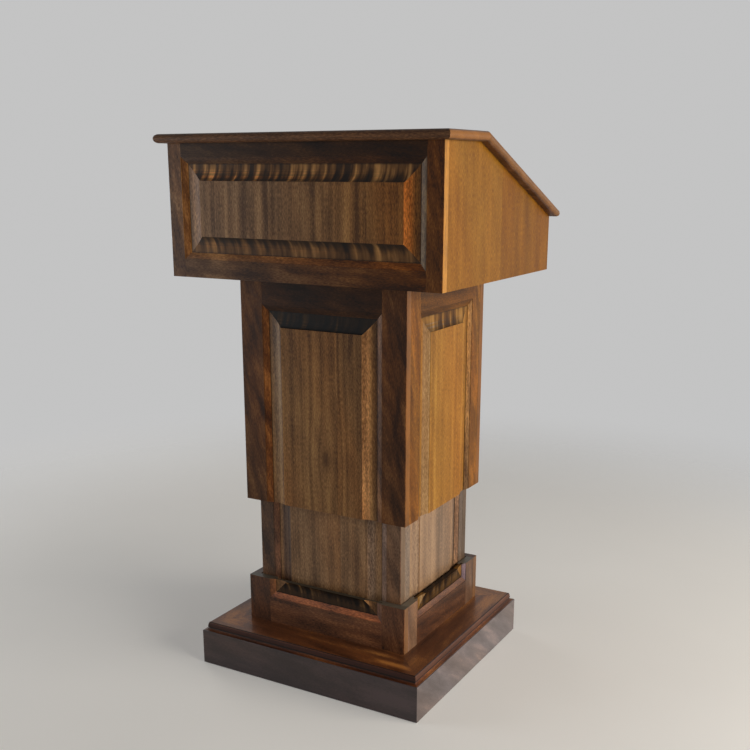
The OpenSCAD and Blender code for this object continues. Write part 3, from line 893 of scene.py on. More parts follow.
@dataclass(frozen=True)
class Plain:
    """A finish of one colour with a fine speckle: paint, moulded plastic or cut plywood.

    Attributes:
        colour: Main colour.
        speckle: Colour of the speckle, and of every other ply.
        grain: Size of the speckle, in metres.
        amount: Strength of the speckle.
        roughness: Roughness of the surface.
        plies: Thickness of one ply, in metres, 0 where there are none.
    """

    colour: Colour
    speckle: Colour
    grain: float = 0.001
    amount: float = 0.3
    roughness: float = 0.5
    plies: float = 0.0

    # Features of the cloud per metre, and the share of the speckle's colour without noise
    CLOUD: ClassVar[float] = 14.0
    SHARE: ClassVar[float] = 0.3
    # Edge of a ply's dark half, and its strength
    PLY_EDGE: ClassVar[tuple[float, float]] = (0.46, 0.54)
    PLY_STRENGTH: ClassVar[float] = 0.45
    # Strength of the bump, and its height in metres
    BUMP: ClassVar[tuple[float, float]] = (0.35, 0.0001)

    def material(self, name: str) -> bpy.types.Material:
        """Makes the material.

        Args:
            name: Name of the material.

        Returns:
            The material.
        """
        material, g = shader_graph(name)
        x, y, z = g.parts(g.add("ShaderNodeTexCoord", output="Object"))
        fine = g.noise(g.vector(x / self.grain, y / self.grain, z / self.grain), 3.0, 0.6)
        cloud = g.noise(g.vector(x * self.CLOUD, y * self.CLOUD, z * self.CLOUD))
        share = fine * self.amount * 2 + cloud * self.amount + self.SHARE
        colour = g.mix(share, self.colour, self.speckle)
        if self.plies:
            layer = g.math("FRACT", z / (2 * self.plies))
            dark_ply = g.step(layer, *self.PLY_EDGE) * self.PLY_STRENGTH
            colour = g.mix(dark_ply, colour, self.speckle)
        g.surface(
            {
                "Base Color": colour,
                "Roughness": fine * 0.2 + self.roughness,
                "Normal": g.bump(fine, *self.BUMP),
            }
        )
        return material


FRAME_WALNUT = Walnut(
    srgb(54, 31, 18), srgb(101, 63, 35), srgb(150, 102, 60), band=0.024, ribbon=0.3, cloud=1.2,
    fleck=0.7, roughness=0.37, gloss=0.16, sheen_left=(1.5, 1.95, 2.8)
)
PANEL_WALNUT = Walnut(
    srgb(82, 53, 29), srgb(141, 98, 57), srgb(190, 140, 84), glow=srgb(206, 152, 92), band=0.019,
    ribbon=0.6, fleck=0.8, roughness=0.37, gloss=0.18, sheen_left=(1.2, 1.5, 2.3)
)
INNER_FRAME_WALNUT = Walnut(
    srgb(50, 36, 28), srgb(98, 70, 50), srgb(146, 108, 78), band=0.024, ribbon=0.3, cloud=0.9,
    fleck=0.7, gloss=0.25
)
INNER_PANEL_WALNUT = Walnut(
    srgb(80, 54, 36), srgb(138, 102, 68), srgb(186, 142, 98), glow=srgb(190, 140, 90), band=0.019,
    ribbon=0.6, cloud=0.5, fleck=0.8, gloss=0.25
)
SIDE_FRAME_WALNUT = Walnut(
    srgb(66, 36, 12), srgb(109, 69, 26), srgb(160, 104, 40), band=0.022, ribbon=0.3, cloud=0.8,
    fleck=0.7, gloss=0.08
)
SIDE_PANEL_WALNUT = Walnut(
    srgb(114, 72, 24), srgb(151, 103, 40), srgb(184, 134, 58), glow=srgb(176, 128, 62), burn=0.35,
    band=0.016, ribbon=0.45, fleck=0.9, warmth=0.6, gloss=0.08
)
HEAD_SIDE_WALNUT = Walnut(
    srgb(94, 56, 14), srgb(128, 84, 22), srgb(162, 114, 42), band=0.03, ribbon=0.25, cloud=0.35,
    fleck=0.8, warmth=0.6, gloss=0.07
)
# Greyer side finish of the inner column, partly a painted sheen of the floor
INNER_SIDE_FRAME_WALNUT = Walnut(
    srgb(84, 68, 55), srgb(132, 112, 93), srgb(162, 142, 122), band=0.024, ribbon=0.3, cloud=0.5,
    warmth=0.7, gloss=0.4
)
# Greyer, partly a painted sheen of the floor
INNER_SIDE_WALNUT = Walnut(
    srgb(98, 74, 52), srgb(142, 110, 80), srgb(174, 140, 104), band=0.02, ribbon=0.6, warmth=0.7,
    gloss=0.5
)
COLLAR_WALNUT = Walnut(
    srgb(52, 33, 24), srgb(108, 69, 45), srgb(154, 106, 70), band=0.024, ribbon=0.3, cloud=0.8,
    fleck=0.7, gloss=0.25
)
COLLAR_SIDE_WALNUT = Walnut(
    srgb(62, 42, 28), srgb(106, 76, 54), srgb(146, 110, 80), band=0.022, ribbon=0.3, cloud=0.7,
    fleck=0.7, gloss=0.35
)
COLLAR_PANEL_WALNUT = replace(SIDE_PANEL_WALNUT, glow=srgb(176, 132, 84), burn=0.5)
TOP_WALNUT = Walnut(
    srgb(60, 37, 22), srgb(98, 65, 42), srgb(140, 98, 64), band=0.026, ribbon=0.6, cloud=0.5,
    gloss=0.18
)
BASE_WALNUT = Walnut(
    srgb(63, 34, 18), srgb(118, 71, 40), srgb(190, 126, 64), band=0.034, ribbon=0.35, cloud=0.8,
    fleck=0.5, roughness=0.33, gloss=0.2, coat=0.13
)
SKIRT_WALNUT = Walnut(
    srgb(41, 29, 28), srgb(56, 43, 42), srgb(80, 62, 60), ribbon=0.2, cloud=0.8, fleck=0.5,
    warmth=1.3, roughness=0.36, gloss=0.5
)
# Greyer and lighter than the front skirt, partly a painted sheen of the floor
SKIRT_SIDE_WALNUT = Walnut(
    srgb(68, 52, 47), srgb(99, 84, 81), srgb(142, 118, 108), ribbon=0.15, cloud=1.1, fleck=0.5,
    warmth=1.3, roughness=0.34, gloss=0.7, coat=0.55
)
BIRCH_PLY = Plain(srgb(214, 184, 138), srgb(176, 140, 96), grain=0.004, plies=0.0015)
BLACK_STEEL = Plain(srgb(34, 34, 36), srgb(52, 52, 54), grain=0.0012, roughness=0.45)
WHITE_NYLON = Plain(srgb(226, 222, 210), srgb(206, 202, 190), amount=0.15, roughness=0.4)
BLACK_PLASTIC = Plain(srgb(24, 24, 25), srgb(40, 40, 41), grain=0.0007, roughness=0.38)


def dress(node: str, material: bpy.types.Material) -> None:
    """Gives a CAD node its material.

    Args:
        node: Name of the node.
        material: Its finish.
    """
    for slot in frame["nodes"][node].material_slots:
        slot.material = material
    LOG.info("%s is dressed in %s", node, material.name)


# Turned pieces


@dataclass(frozen=True)
class Grid:
    """Places of turned pieces: the corners of a rectangle, each with one or more in a row.

    Attributes:
        spread: Size of the rectangle.
        centre: Its middle, at the foot of the pieces.
        count: Number of pieces at each corner.
        step: From one piece of a corner to the next.
    """

    spread: Place
    centre: Place
    count: int = 1
    step: Place = (0.0, 0.0, 0.0)


@dataclass(frozen=True)
class Turned:
    """Shape of a small turned piece: rounded at its foot, with a socket in it.

    Attributes:
        radius: Radius of the piece.
        height: Its height.
        bore_radius: Radius of the socket.
        bore_depth: Depth of the socket.
        draw: How much the foot draws in, 1 for a dome.
        sharpness: How soon the rounding ends on the way up.
        bore_sides: Number of sides of the socket, 6 for a hexagon key.
    """

    radius: float
    height: float
    bore_radius: float
    bore_depth: float
    draw: float = 0.8
    sharpness: float = 2.0
    bore_sides: int = 6


class TurnedTree:
    """Geometry Nodes tree that makes turned pieces on a grid."""

    SOCKETS = {Place: "NodeSocketVector", int: "NodeSocketInt", float: "NodeSocketFloat"}
    # Rings along a piece, facets round it, and the angle in degrees from which an edge is sharp
    RINGS = 12
    FACETS = 32
    SHARP_ANGLE = 35

    def __init__(self) -> None:
        """Builds the tree, with an input for each field of Grid and Turned and for the finish."""
        self.tree = bpy.data.node_groups.new("turned_piece", "GeometryNodeTree")
        sockets = self.tree.interface
        kinds = {size.name: self.SOCKETS[size.type] for size in (*fields(Grid), *fields(Turned))}
        kinds["finish"] = "NodeSocketMaterial"
        self.keys = {
            name: sockets.new_socket(name, in_out="INPUT", socket_type=kind).identifier
            for name, kind in kinds.items()
        }
        sockets.new_socket("Geometry", in_out="OUTPUT", socket_type="NodeSocketGeometry")
        self.graph = Graph(self.tree)
        g = self.graph
        inputs = {"Points": self._points(), "Instance": self._piece()}
        pieces = g.add("GeometryNodeInstanceOnPoints", None, inputs)
        real = g.add("GeometryNodeRealizeInstances", None, {"Geometry": pieces})
        finished = {"Geometry": real, "Material": self._given("finish")}
        g.end("NodeGroupOutput", {"Geometry": g.add("GeometryNodeSetMaterial", None, finished)})

    def _given(self, name: str) -> Signal:
        """Reads one of the tree's inputs."""
        return self.graph.add("NodeGroupInput", output=name)

    def _points(self) -> Signal:
        """Places the points: a grid of four, each with one or more points in a row.

        Returns:
            The points.
        """
        g = self.graph
        wide, deep, _ = g.parts(self._given("spread"))
        size = {"Size X": wide, "Size Y": deep, "Vertices X": 2, "Vertices Y": 2}
        grid = g.add("GeometryNodeMeshGrid", None, size)
        step = self._given("step")
        row = {"Count": self._given("count"), "Start Location": g.dim(step, -0.5), "Offset": step}
        line = g.add("GeometryNodeMeshLine", None, row)
        sets = g.add("GeometryNodeInstanceOnPoints", None, {"Points": grid, "Instance": line})
        real = g.add("GeometryNodeRealizeInstances", None, {"Geometry": sets})
        moved = {"Geometry": real, "Translation": self._given("centre")}
        return g.add("GeometryNodeTransform", None, moved)

    def _piece(self) -> Signal:
        """Turns one piece: rounded at the foot, flat at the top, with a socket in the foot.

        Returns:
            The piece.
        """
        g = self.graph
        line = {"Start": (0, 0, 0), "End": g.vector(0.0, 0.0, self._given("height"))}
        axis = g.add("GeometryNodeCurvePrimitiveLine", None, line)
        axis = g.add("GeometryNodeResampleCurve", None, {"Curve": axis, "Count": self.RINGS})
        along = g.add("GeometryNodeSplineParameter", output="Factor")
        taper = self._given("draw") * (1 - along) ** self._given("sharpness")
        girth = self._given("radius") * (1 - taper) ** 0.5
        ring = {"Resolution": self.FACETS, "Radius": 1.0}
        profile = g.add("GeometryNodeCurvePrimitiveCircle", None, ring)
        body = {"Curve": axis, "Profile Curve": profile, "Scale": girth, "Fill Caps": True}
        solid = g.add("GeometryNodeCurveToMesh", None, body)
        bore = {
            "Vertices": self._given("bore_sides"),
            "Radius": self._given("bore_radius"),
            "Depth": self._given("bore_depth") * 2,
        }
        cutter = g.add("GeometryNodeMeshCylinder", None, bore)
        settings = {"operation": "DIFFERENCE", "solver": "EXACT"}
        return g.add("GeometryNodeMeshBoolean", settings, {"Mesh 1": solid, "Mesh 2": cutter})

    def make(
        self,
        name: str,
        body: str,
        finish: bpy.types.Material,
        grid: Grid,
        shape: Turned,
    ) -> bpy.types.Object:
        """Makes one mesh of turned pieces that ride on a body.

        Args:
            name: Name of the mesh.
            body: CAD body that it rides on.
            finish: Its material.
            grid: Places of the pieces.
            shape: Shape of each piece.

        Returns:
            The object of the mesh.
        """
        holder = bpy.data.objects.new(name + "_points", bpy.data.meshes.new(name + "_points"))
        bpy.context.scene.collection.objects.link(holder)
        modifier = holder.modifiers.new("turned", "NODES")
        modifier.node_group = self.tree
        for size, value in {**asdict(grid), **asdict(shape), "finish": finish}.items():
            modifier[self.keys[size]] = value
        graph = bpy.context.evaluated_depsgraph_get()
        mesh = bpy.data.meshes.new_from_object(holder.evaluated_get(graph), depsgraph=graph)
        bpy.data.objects.remove(holder)
        mesh.name = name
        mesh.set_sharp_from_angle(angle=math.radians(self.SHARP_ANGLE))
        piece = bpy.data.objects.new(name, mesh)
        bpy.context.scene.collection.objects.link(piece)
        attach(piece, body)
        LOG.info("%s has %d faces and rides on %s", name, len(mesh.polygons), body)
        return piece


# Sub-assemblies


@dataclass
class Head:
    """Desk of the lectern: front frame and panel, side boards, floor, top and book stop.

    Attributes:
        side_seams: Glue lines of the side boards.
        top_seams: Glue lines of the flat top board.
        board_seams: Glue lines of the reading board.
        edge: Colour of the front frame's edge, seen from the side.
        top_ends: Colour of the flat top board's ends.
        board_ends: Colour of the reading board's ends.
        panel_patches: Lighter and darker streaks of the front panel.
        rail_patches: Darker places of the bottom rail.
    """

    side_seams: tuple[float, ...] = (0.002,)
    top_seams: tuple[float, ...] = (-0.215,)
    board_seams: tuple[float, ...] = (0.03, 0.16)
    edge: Colour = srgb(194, 132, 47)
    top_ends: Colour = srgb(144, 92, 34)
    board_ends: Colour = srgb(124, 84, 44)
    panel_patches: tuple[Patch, ...] = (
        Patch(-0.186, 1.07, 0.012, 0.2, 0.22),
        Patch(-0.075, 1.07, 0.005, 0.2, -0.32),
        Patch(0.040, 1.07, 0.006, 0.2, -0.30),
        Patch(0.050, 1.07, 0.010, 0.2, 0.18),
        Patch(0.062, 1.07, 0.004, 0.2, -0.22),
        Patch(0.110, 1.07, 0.014, 0.2, 0.22),
        Patch(0.143, 1.07, 0.005, 0.2, -0.28),
    )
    rail_patches: tuple[Patch, ...] = (
        Patch(0.94, 0.25, 0.2, 0.22, -0.26),
        Patch(0.948, 0.11, 0.004, 0.10, -0.35),
        Patch(0.938, -0.12, 0.006, 0.14, -0.25),
    )

    def dress(self) -> None:
        """Gives each board of the head its finish."""
        for node, (finish, cut) in {**self._front(), **self._boards()}.items():
            dress(node, finish.material(node, cut))

    def _front(self) -> dict[str, tuple[Walnut, Cut]]:
        """Describes the front frame and its panel.

        Returns:
            Finish and cut of each node.
        """
        stiles = Cut(
            Axis.Z,
            Face.FRONT,
            1,
            skew=0.1,
            edge=self.edge,
            lip=(1.15, 1.85, 3.2),
            far_lip=(1.15, 0.95, 0.65),
            painted_sheen=True,
        )
        # The top rail's low shade is the desk top's painted shadow
        top_rail = Cut(
            Axis.X,
            Face.FRONT,
            2,
            shade=0.24,
            patches=(Patch(1.17, 0.25, 0.2, 0.25, -0.38),),
            lip=(1.3, 1.2, 1.1),
            painted_sheen=True,
        )
        bottom_rail = Cut(
            Axis.X,
            Face.FRONT,
            3,
            shade=0.72,
            patches=self.rail_patches,
            far_lip=(1.9, 1.7, 1.3),
            painted_sheen=True,
        )
        panel = Cut(
            Axis.Z,
            Face.FRONT,
            4,
            lean=2.7,
            patches=self.panel_patches,
            raised=Raised(calm=0.45),
            lip=(1.3, 1.25, 1.2),
            far_lip=(2.3, 1.8, 1.5),
            painted_sheen=True,
        )
        return {
            "head_front_stiles": (FRAME_WALNUT, stiles),
            "head_top_rail": (FRAME_WALNUT, top_rail),
            "head_bottom_rail": (FRAME_WALNUT, bottom_rail),
            "head_front_panel": (PANEL_WALNUT, panel),
        }

    def _boards(self) -> dict[str, tuple[Walnut, Cut]]:
        """Describes the side boards, the floor, the top boards and the book stop.

        Returns:
            Finish and cut of each node.
        """
        left = Cut(Axis.Z, Face.LEFT, 5, seams=self.side_seams, lifts=(-0.18,), spread=0.1)
        floor = Cut(Axis.X, Face.TOP, 7)
        flat = Cut(Axis.X, Face.TOP, 8, seams=self.top_seams, ends=self.top_ends)
        slope = Cut(Axis.X, Face.TOP, 9, seams=self.board_seams, ends=self.board_ends)
        return {
            "head_side_left": (HEAD_SIDE_WALNUT, left),
            "head_side_right": (HEAD_SIDE_WALNUT, replace(left, face=Face.RIGHT, seed=6)),
            "head_floor": (TOP_WALNUT, floor),
            "desk_top": (TOP_WALNUT, flat),
            "reading_board": (TOP_WALNUT, slope),
            "book_stop": (FRAME_WALNUT, Cut(Axis.X, Face.TOP, 10)),
        }


@dataclass(frozen=True)
class Side:
    """Finishes and tints of two opposite sides of a column.

    A low or high lip or cove turns to the low or high side of its board, against the face. Its tint
    is partly the wood's own tone, partly painted light and sheen by the way it turns.

    Attributes:
        frame: Finish of the stiles and the rail.
        panel: Finish of the panel.
        low_lip: Tint of the stiles' low lip.
        high_lip: Tint of their high lip.
        low_cove: Tint of the panel's low cove.
        high_cove: Tint of its high cove.
        edge: Colour of the stiles' outer edges.
        step: Colour of the upright step round the panel's field.
    """

    frame: Walnut
    panel: Walnut
    low_lip: Colour
    high_lip: Colour
    low_cove: Colour
    high_cove: Optional[Colour] = None
    edge: Optional[Colour] = None
    step: Optional[Colour] = None


WIDE_SIDE = Side(
    FRAME_WALNUT,
    PANEL_WALNUT,
    low_lip=(1.6, 1.85, 2.4),
    high_lip=(1.95, 1.75, 1.4),
    low_cove=(0.95, 1.02, 1.15),
    high_cove=(2.55, 2.55, 2.7),
    edge=srgb(139, 88, 34),
)
NARROW_SIDE = Side(
    SIDE_FRAME_WALNUT,
    SIDE_PANEL_WALNUT,
    low_lip=(1.35, 1.8, 4.0),
    high_lip=(1.15, 1.15, 1.15),
    low_cove=(0.95, 1.2, 3.0),
    step=srgb(196, 146, 84),
)


@dataclass
class Column:
    """A four-sided panelled column: the sliding one, the fixed inner one or the collar.

    Attributes:
        name: Start of its nodes' names.
        seed: Number that sets its boards apart.
        coves: Whether its panels have a cove at the low and the high end.
        has_rails: Whether its frames have rails.
        wide: Its front and rear.
        narrow: Its left and right.
        rear_dim: How light the rear frame's edges are beside the front frame's.
        touches: Fields of Cut to change, and another finish, by part.
    """

    name: str
    seed: float
    coves: tuple[bool, bool]
    has_rails: bool = True
    wide: Side = WIDE_SIDE
    narrow: Side = NARROW_SIDE
    rear_dim: float = 0.7
    touches: dict[str, dict[str, Any]] = field(default_factory=dict)

    # Cuts of a side, skew of its stiles, lean of its panel and shade of its rail
    CUTS: ClassVar[int] = 3
    SKEW: ClassVar[float] = 0.16
    LEAN: ClassVar[float] = 2.2
    RAIL_SHADE: ClassVar[float] = 0.75

    def dress(self) -> None:
        """Gives the stiles, rails and panels of each side their finish."""
        for number, face in enumerate(SIDES):
            side = self.wide if face.wide else self.narrow
            name, seed = face.name.lower(), self.seed + number * self.CUTS
            edge = scaled(side.edge, self.rear_dim) if face is Face.REAR else side.edge
            stiles = Cut(
                Axis.Z,
                face,
                seed,
                skew=self.SKEW,
                edge=edge,
                lip=side.low_lip,
                far_lip=side.high_lip,
            )
            self._dress_node(f"{name}_stiles", side.frame, stiles)
            if self.has_rails:
                grain = Axis.X if face.wide else Axis.Y
                rail = Cut(grain, face, seed + 1, shade=self.RAIL_SHADE)
                self._dress_node(f"{name}_rail", side.frame, rail)
            panel = Cut(
                Axis.Z,
                face,
                seed + 2,
                lean=self.LEAN,
                raised=Raised(*self.coves),
                lip=side.low_cove,
                far_lip=side.high_cove,
                edge=side.step,
            )
            self._dress_node(f"{name}_panel", side.panel, panel)

    def _dress_node(self, part: str, finish: Walnut, cut: Cut) -> None:
        """Gives one node of the column its finish.

        Args:
            part: End of the node's name.
            finish: Its finish, where its touches name no other.
            cut: Its cut before its touches.
        """
        node = f"{self.name}_{part}"
        touch = dict(self.touches.get(part, {}))
        finish = touch.pop("finish", finish)
        dress(node, finish.material(node, replace(cut, **touch)))


@dataclass
class Base:
    """Mitred base: moulded top boards, skirt, deck, corner blocks and glides.

    Attributes:
        top_seed: Number that sets its top boards apart.
        skirt_seed: Number that sets its skirt boards apart.
        side_skew: How far the figure of the side skirts drifts.
        bead_shadow_lines: Painted shadow lines under the bead and beside it: height and half width.
        bead: Colour of the bead at the front and the rear.
        side_bead: Colour of the bead at the sides.
        bead_shade: Tint of its rounded part, against the top.
        glide: Shape of a glide.
        screw: Shape of the head of a corner block's screw.
        glide_screw: Shape of the head of a glide's screw.
        screw_step: From one screw of a corner block to the other.
        top_patches: Lighter places of the top boards, by side: golden figure near the front's right
            end, and painted reflections at the front's left end, the left board's front end and the
            right board's rear end.
        skirt_patches: Lighter places of the skirt, by side.
    """

    top_seed: float = 60
    skirt_seed: float = 70
    side_skew: float = 0.5
    bead_shadow_lines: tuple[tuple[float, float], ...] = ((0.0904, 0.0024), (0.1032, 0.0008))
    bead: Colour = srgb(60, 32, 24)
    side_bead: Colour = srgb(84, 50, 34)
    bead_shade: Colour = (0.55, 0.46, 0.42)
    glide: Turned = Turned(0.014, 0.005, 0.0052, 0.0022, draw=0.22, sharpness=5.0, bore_sides=28)
    screw: Turned = Turned(0.0042, 0.0022, 0.0016, 0.0012)
    glide_screw: Turned = Turned(0.0042, 0.0008, 0.0016, 0.0012)
    screw_step: Place = (0.030, 0.030, 0.0)
    top_patches: dict[str, tuple[Patch, ...]] = field(
        default_factory=lambda: {
            "front": (
                Patch(-0.245, 0.212, 0.010, 0.045, 0.85),
                Patch(-0.217, 0.155, 0.006, 0.05, 0.35),
                # Painted reflection at the front board's left end
                Patch(-0.235, -0.24, 0.03, 0.04, 0.6),
            ),
            # Painted reflections at the left board's front end and the right board's rear end
            "left": (Patch(-0.25, -0.20, 0.03, 0.08, 0.6),),
            "right": (Patch(0.245, 0.17, 0.03, 0.07, 0.6),),
        }
    )
    skirt_patches: dict[str, tuple[Patch, ...]] = field(
        default_factory=lambda: {
            "front": (Patch(0.04, 0.22, 0.08, 0.09, 0.3),),
            "right": (
                Patch(0.04, 0.08, 0.05, 0.12, 0.2),
                Patch(0.04, -0.25, 0.1, 0.1, -0.22),
                Patch(0.04, 0.28, 0.1, 0.1, -0.15),
            ),
        }
    )

    def dress(self) -> None:
        """Gives the boards of the base their finish."""
        for number, face in enumerate(SIDES):
            side = face.name.lower()
            grain = Axis.X if face.wide else Axis.Y
            top = Cut(
                grain,
                Face.TOP,
                self.top_seed + number,
                patches=self.top_patches.get(side, ()),
                lip=self.bead_shade,
                far_lip=self.bead_shade,
                edge=self.bead if face.wide else self.side_bead,
                shadow_lines=self.bead_shadow_lines,
            )
            dress(f"base_top_{side}", BASE_WALNUT.material(f"base_top_{side}", top))
            skirt = Cut(
                grain,
                face,
                self.skirt_seed + number,
                skew=0.0 if face.wide else self.side_skew,
                patches=self.skirt_patches.get(side, ()),
            )
            finish = SKIRT_WALNUT if face.wide else SKIRT_SIDE_WALNUT
            dress(f"skirt_{side}", finish.material(f"skirt_{side}", skirt))
        dress("base_deck", BIRCH_PLY.material("plywood_deck"))
        dress("corner_blocks", BIRCH_PLY.material("plywood_blocks"))
        dress("glides", WHITE_NYLON.material("nylon_glides"))

    def build(self, tree: TurnedTree) -> None:
        """Makes the glides, and the screws of the glides and the corner blocks.

        A glide's screw lies at the bottom of its socket, and the screws of a corner block hang
        from it beside the glide.

        Args:
            tree: Tree of a turned piece.
        """
        low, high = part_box("glides")
        size, middle = high - low, (low + high) / 2
        reach = 2 * self.glide.radius
        spread = (size.x - reach, size.y - reach, 0.0)
        nylon = WHITE_NYLON.material("nylon_glide_shoes")
        steel = BLACK_STEEL.material("black_steel_base_screws")
        feet = Grid(spread, (middle.x, middle.y, low.z))
        shoes = tree.make("glide_shoes", "base", nylon, feet, self.glide)
        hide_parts("glides")
        sunk = replace(feet, centre=(middle.x, middle.y, low.z + self.glide.bore_depth))
        tree.make("glide_screws", "base", steel, sunk, self.glide_screw)
        under_blocks = (middle.x, middle.y, high.z - self.screw.height)
        blocks = Grid(spread, under_blocks, count=2, step=self.screw_step)
        tree.make("block_screws", "base", steel, blocks, self.screw)


@dataclass
class Lift:
    """Hidden lift: tubes, guide strips, bracket and release lever.

    Attributes:
        screw: Shape of the head of a screw of the lever's bracket.
        screw_spread: Spacing of the bracket's four screws.
        plate: Thickness of the bracket's plate.
    """

    screw: Turned = Turned(0.0026, 0.0018, 0.0012, 0.001)
    screw_spread: Place = (0.033, 0.010, 0.0)
    plate: float = 0.003

    def dress(self) -> None:
        """Gives the parts of the lift their finish."""
        steel = BLACK_STEEL.material("black_steel")
        for node in ("lift_outer", "lift_inner", "lever_bracket", "release_lever"):
            dress(node, steel)
        dress("column_guides", WHITE_NYLON.material("nylon_guides"))
        dress("lever_grip", BLACK_PLASTIC.material("black_plastic"))

    def build(self, tree: TurnedTree) -> None:
        """Makes the screws of the lever's bracket.

        Args:
            tree: Tree of a turned piece.
        """
        low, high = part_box("lever_bracket")
        middle = (low + high) / 2
        under_plate = (middle.x, middle.y, high.z - self.plate - self.screw.height)
        steel = BLACK_STEEL.material("black_steel_bracket_screws")
        grid = Grid(self.screw_spread, under_plate)
        tree.make("bracket_screws", "head", steel, grid, self.screw)


# Studio


@dataclass(frozen=True)
class Lamp:
    """A soft rectangular lamp aimed at the object.

    Attributes:
        name: Name of the lamp.
        place: Where it stands.
        aim: Point it faces.
        width: Width of its face.
        height: Height of its face.
        radiance: Brightness of its face, where 1 shows as white.
        colour: Tint of its light.
        mirrored: Whether glossy surfaces mirror it.
    """

    name: str
    place: Place
    aim: Place
    width: float
    height: float
    radiance: float
    colour: Colour
    mirrored: bool = True

    def build(self) -> None:
        """Puts the lamp in the scene."""
        light = bpy.data.lights.new(self.name, "AREA")
        light.shape = "RECTANGLE"
        light.size = self.width
        light.size_y = self.height
        light.energy = self.radiance * math.pi * self.width * self.height
        light.color = self.colour
        lamp = bpy.data.objects.new(self.name, light)
        lamp.location = self.place
        lamp.visible_camera = False
        lamp.visible_glossy = self.mirrored
        direction = Vector(self.aim) - Vector(self.place)
        lamp.rotation_euler = direction.to_track_quat("-Z", "Y").to_euler()
        bpy.context.scene.collection.objects.link(lamp)


@dataclass
class Studio:
    """Camera, lamps, world and floor.

    Attributes:
        camera_place: Where the camera stands.
        camera_pitch: How far it looks down, in degrees.
        camera_yaw: How far it is turned to the left, in degrees.
        lens: Focal length of its lens, in millimetres.
        sensor: Width of its sensor, in millimetres.
        shift_y: Upward shift of the lens, in widths of the sensor.
        floor_radius: Radius of the floor.
        floor_sides: Number of sides of the floor's rim.
        floor_colours: Its darker and its lighter colour.
        floor_lift: How much brighter the floor shows than the lamps make it.
        floor_fade: Distances from the object between which the floor fades out.
        ambient: Light of the world on the object.
        backdrop: Brightness of the background as it shows.
        lamps: The lamps.
    """

    camera_place: Place = (1.19568, -2.04807, 1.15531)
    camera_pitch: float = 15.281
    camera_yaw: float = 29.751
    lens: float = 49.434
    sensor: float = 36.0
    shift_y: float = 0.0985
    floor_radius: float = 14.0
    floor_sides: int = 96
    floor_colours: tuple[Colour, Colour] = (srgb(222, 220, 216), srgb(230, 228, 224))
    floor_lift: float = 0.2
    floor_fade: tuple[float, float] = (1.1, 2.7)
    ambient: float = 0.06
    backdrop: float = 0.55
    lamps: tuple[Lamp, ...] = (
        Lamp("key", (3.4, -0.1, 1.4), (0, 0, 0.7), 3.0, 1.6, 8.4, (1.0, 0.94, 0.86), False),
        Lamp("kicker", (-2.5, -1.45, 0.85), (0, 0, 0.75), 1.3, 1.9, 3.2, (0.94, 0.97, 1.0)),
        Lamp("rim", (2.5, 2.3, 0.8), (0, 0, 0.6), 2.2, 1.5, 1.2, (1.0, 0.98, 0.94)),
        Lamp("back", (-3.3, 1.6, 1.2), (0, 0, 0.7), 1.5, 1.5, 3.0, (1.0, 0.97, 0.93)),
    )

    def build(self) -> None:
        """Builds the whole studio."""
        self._camera()
        self._world()
        self._floor()
        for lamp in self.lamps:
            lamp.build()
        bpy.context.scene.view_settings.view_transform = "Standard"

    def _camera(self) -> None:
        """Sets the camera to the photograph's viewpoint."""
        data = bpy.data.cameras.new("camera")
        data.lens = self.lens
        data.sensor_width = self.sensor
        data.sensor_fit = "HORIZONTAL"
        data.shift_y = self.shift_y
        camera = bpy.data.objects.new("camera", data)
        camera.location = self.camera_place
        tilt = math.radians(90 - self.camera_pitch)
        camera.rotation_euler = (tilt, 0, math.radians(self.camera_yaw))
        bpy.context.scene.collection.objects.link(camera)
        bpy.context.scene.camera = camera

    def _world(self) -> None:
        """Makes a plain pale world."""
        world = bpy.data.worlds.new("studio")
        world.use_nodes = True
        g = Graph(world.node_tree)
        strength = self._seen(g) * (self.backdrop - self.ambient) + self.ambient
        back = g.add("ShaderNodeBackground", None, {"Color": (1, 1, 1), "Strength": strength})
        g.end("ShaderNodeOutputWorld", {"Surface": back})
        bpy.context.scene.world = world

    @staticmethod
    def _seen(g: Graph) -> Signal:
        """Tells the rays that show the background, directly or in gloss or glass.

        Args:
            g: Graph of the world or of a material.

        Returns:
            1 for such a ray, 0 for others.
        """
        seen = g.add("ShaderNodeLightPath", output="Is Camera Ray")
        for ray in ("Is Glossy Ray", "Is Transmission Ray"):
            seen = g.math("MAXIMUM", seen, g.add("ShaderNodeLightPath", output=ray))
        return seen

    def _floor(self) -> None:
        """Makes the pale round floor."""
        turns = (2 * math.pi * i / self.floor_sides for i in range(self.floor_sides))
        rim = [(self.floor_radius * math.cos(t), self.floor_radius * math.sin(t), 0) for t in turns]
        mesh = bpy.data.meshes.new("floor")
        mesh.from_pydata(rim, [], [list(range(self.floor_sides))])
        material, g = shader_graph("floor")
        x, y, z = g.parts(g.add("ShaderNodeTexCoord", output="Object"))
        cloud = g.noise(g.vector(x * 1.5, y * 1.5, z), 3.0)
        colour = g.mix(cloud + 0.5, *self.floor_colours)
        away = g.math("SQRT", x * x + y * y)
        g.surface(
            {
                "Base Color": colour,
                "Roughness": 0.8,
                "Alpha": 1 - g.step(away, *self.floor_fade),
                "Emission Color": g.dim(colour, self._seen(g) * self.floor_lift),
                "Emission Strength": 1.0,
            }
        )
        mesh.materials.append(material)
        floor = bpy.data.objects.new("floor", mesh)
        bpy.context.scene.collection.objects.link(floor)


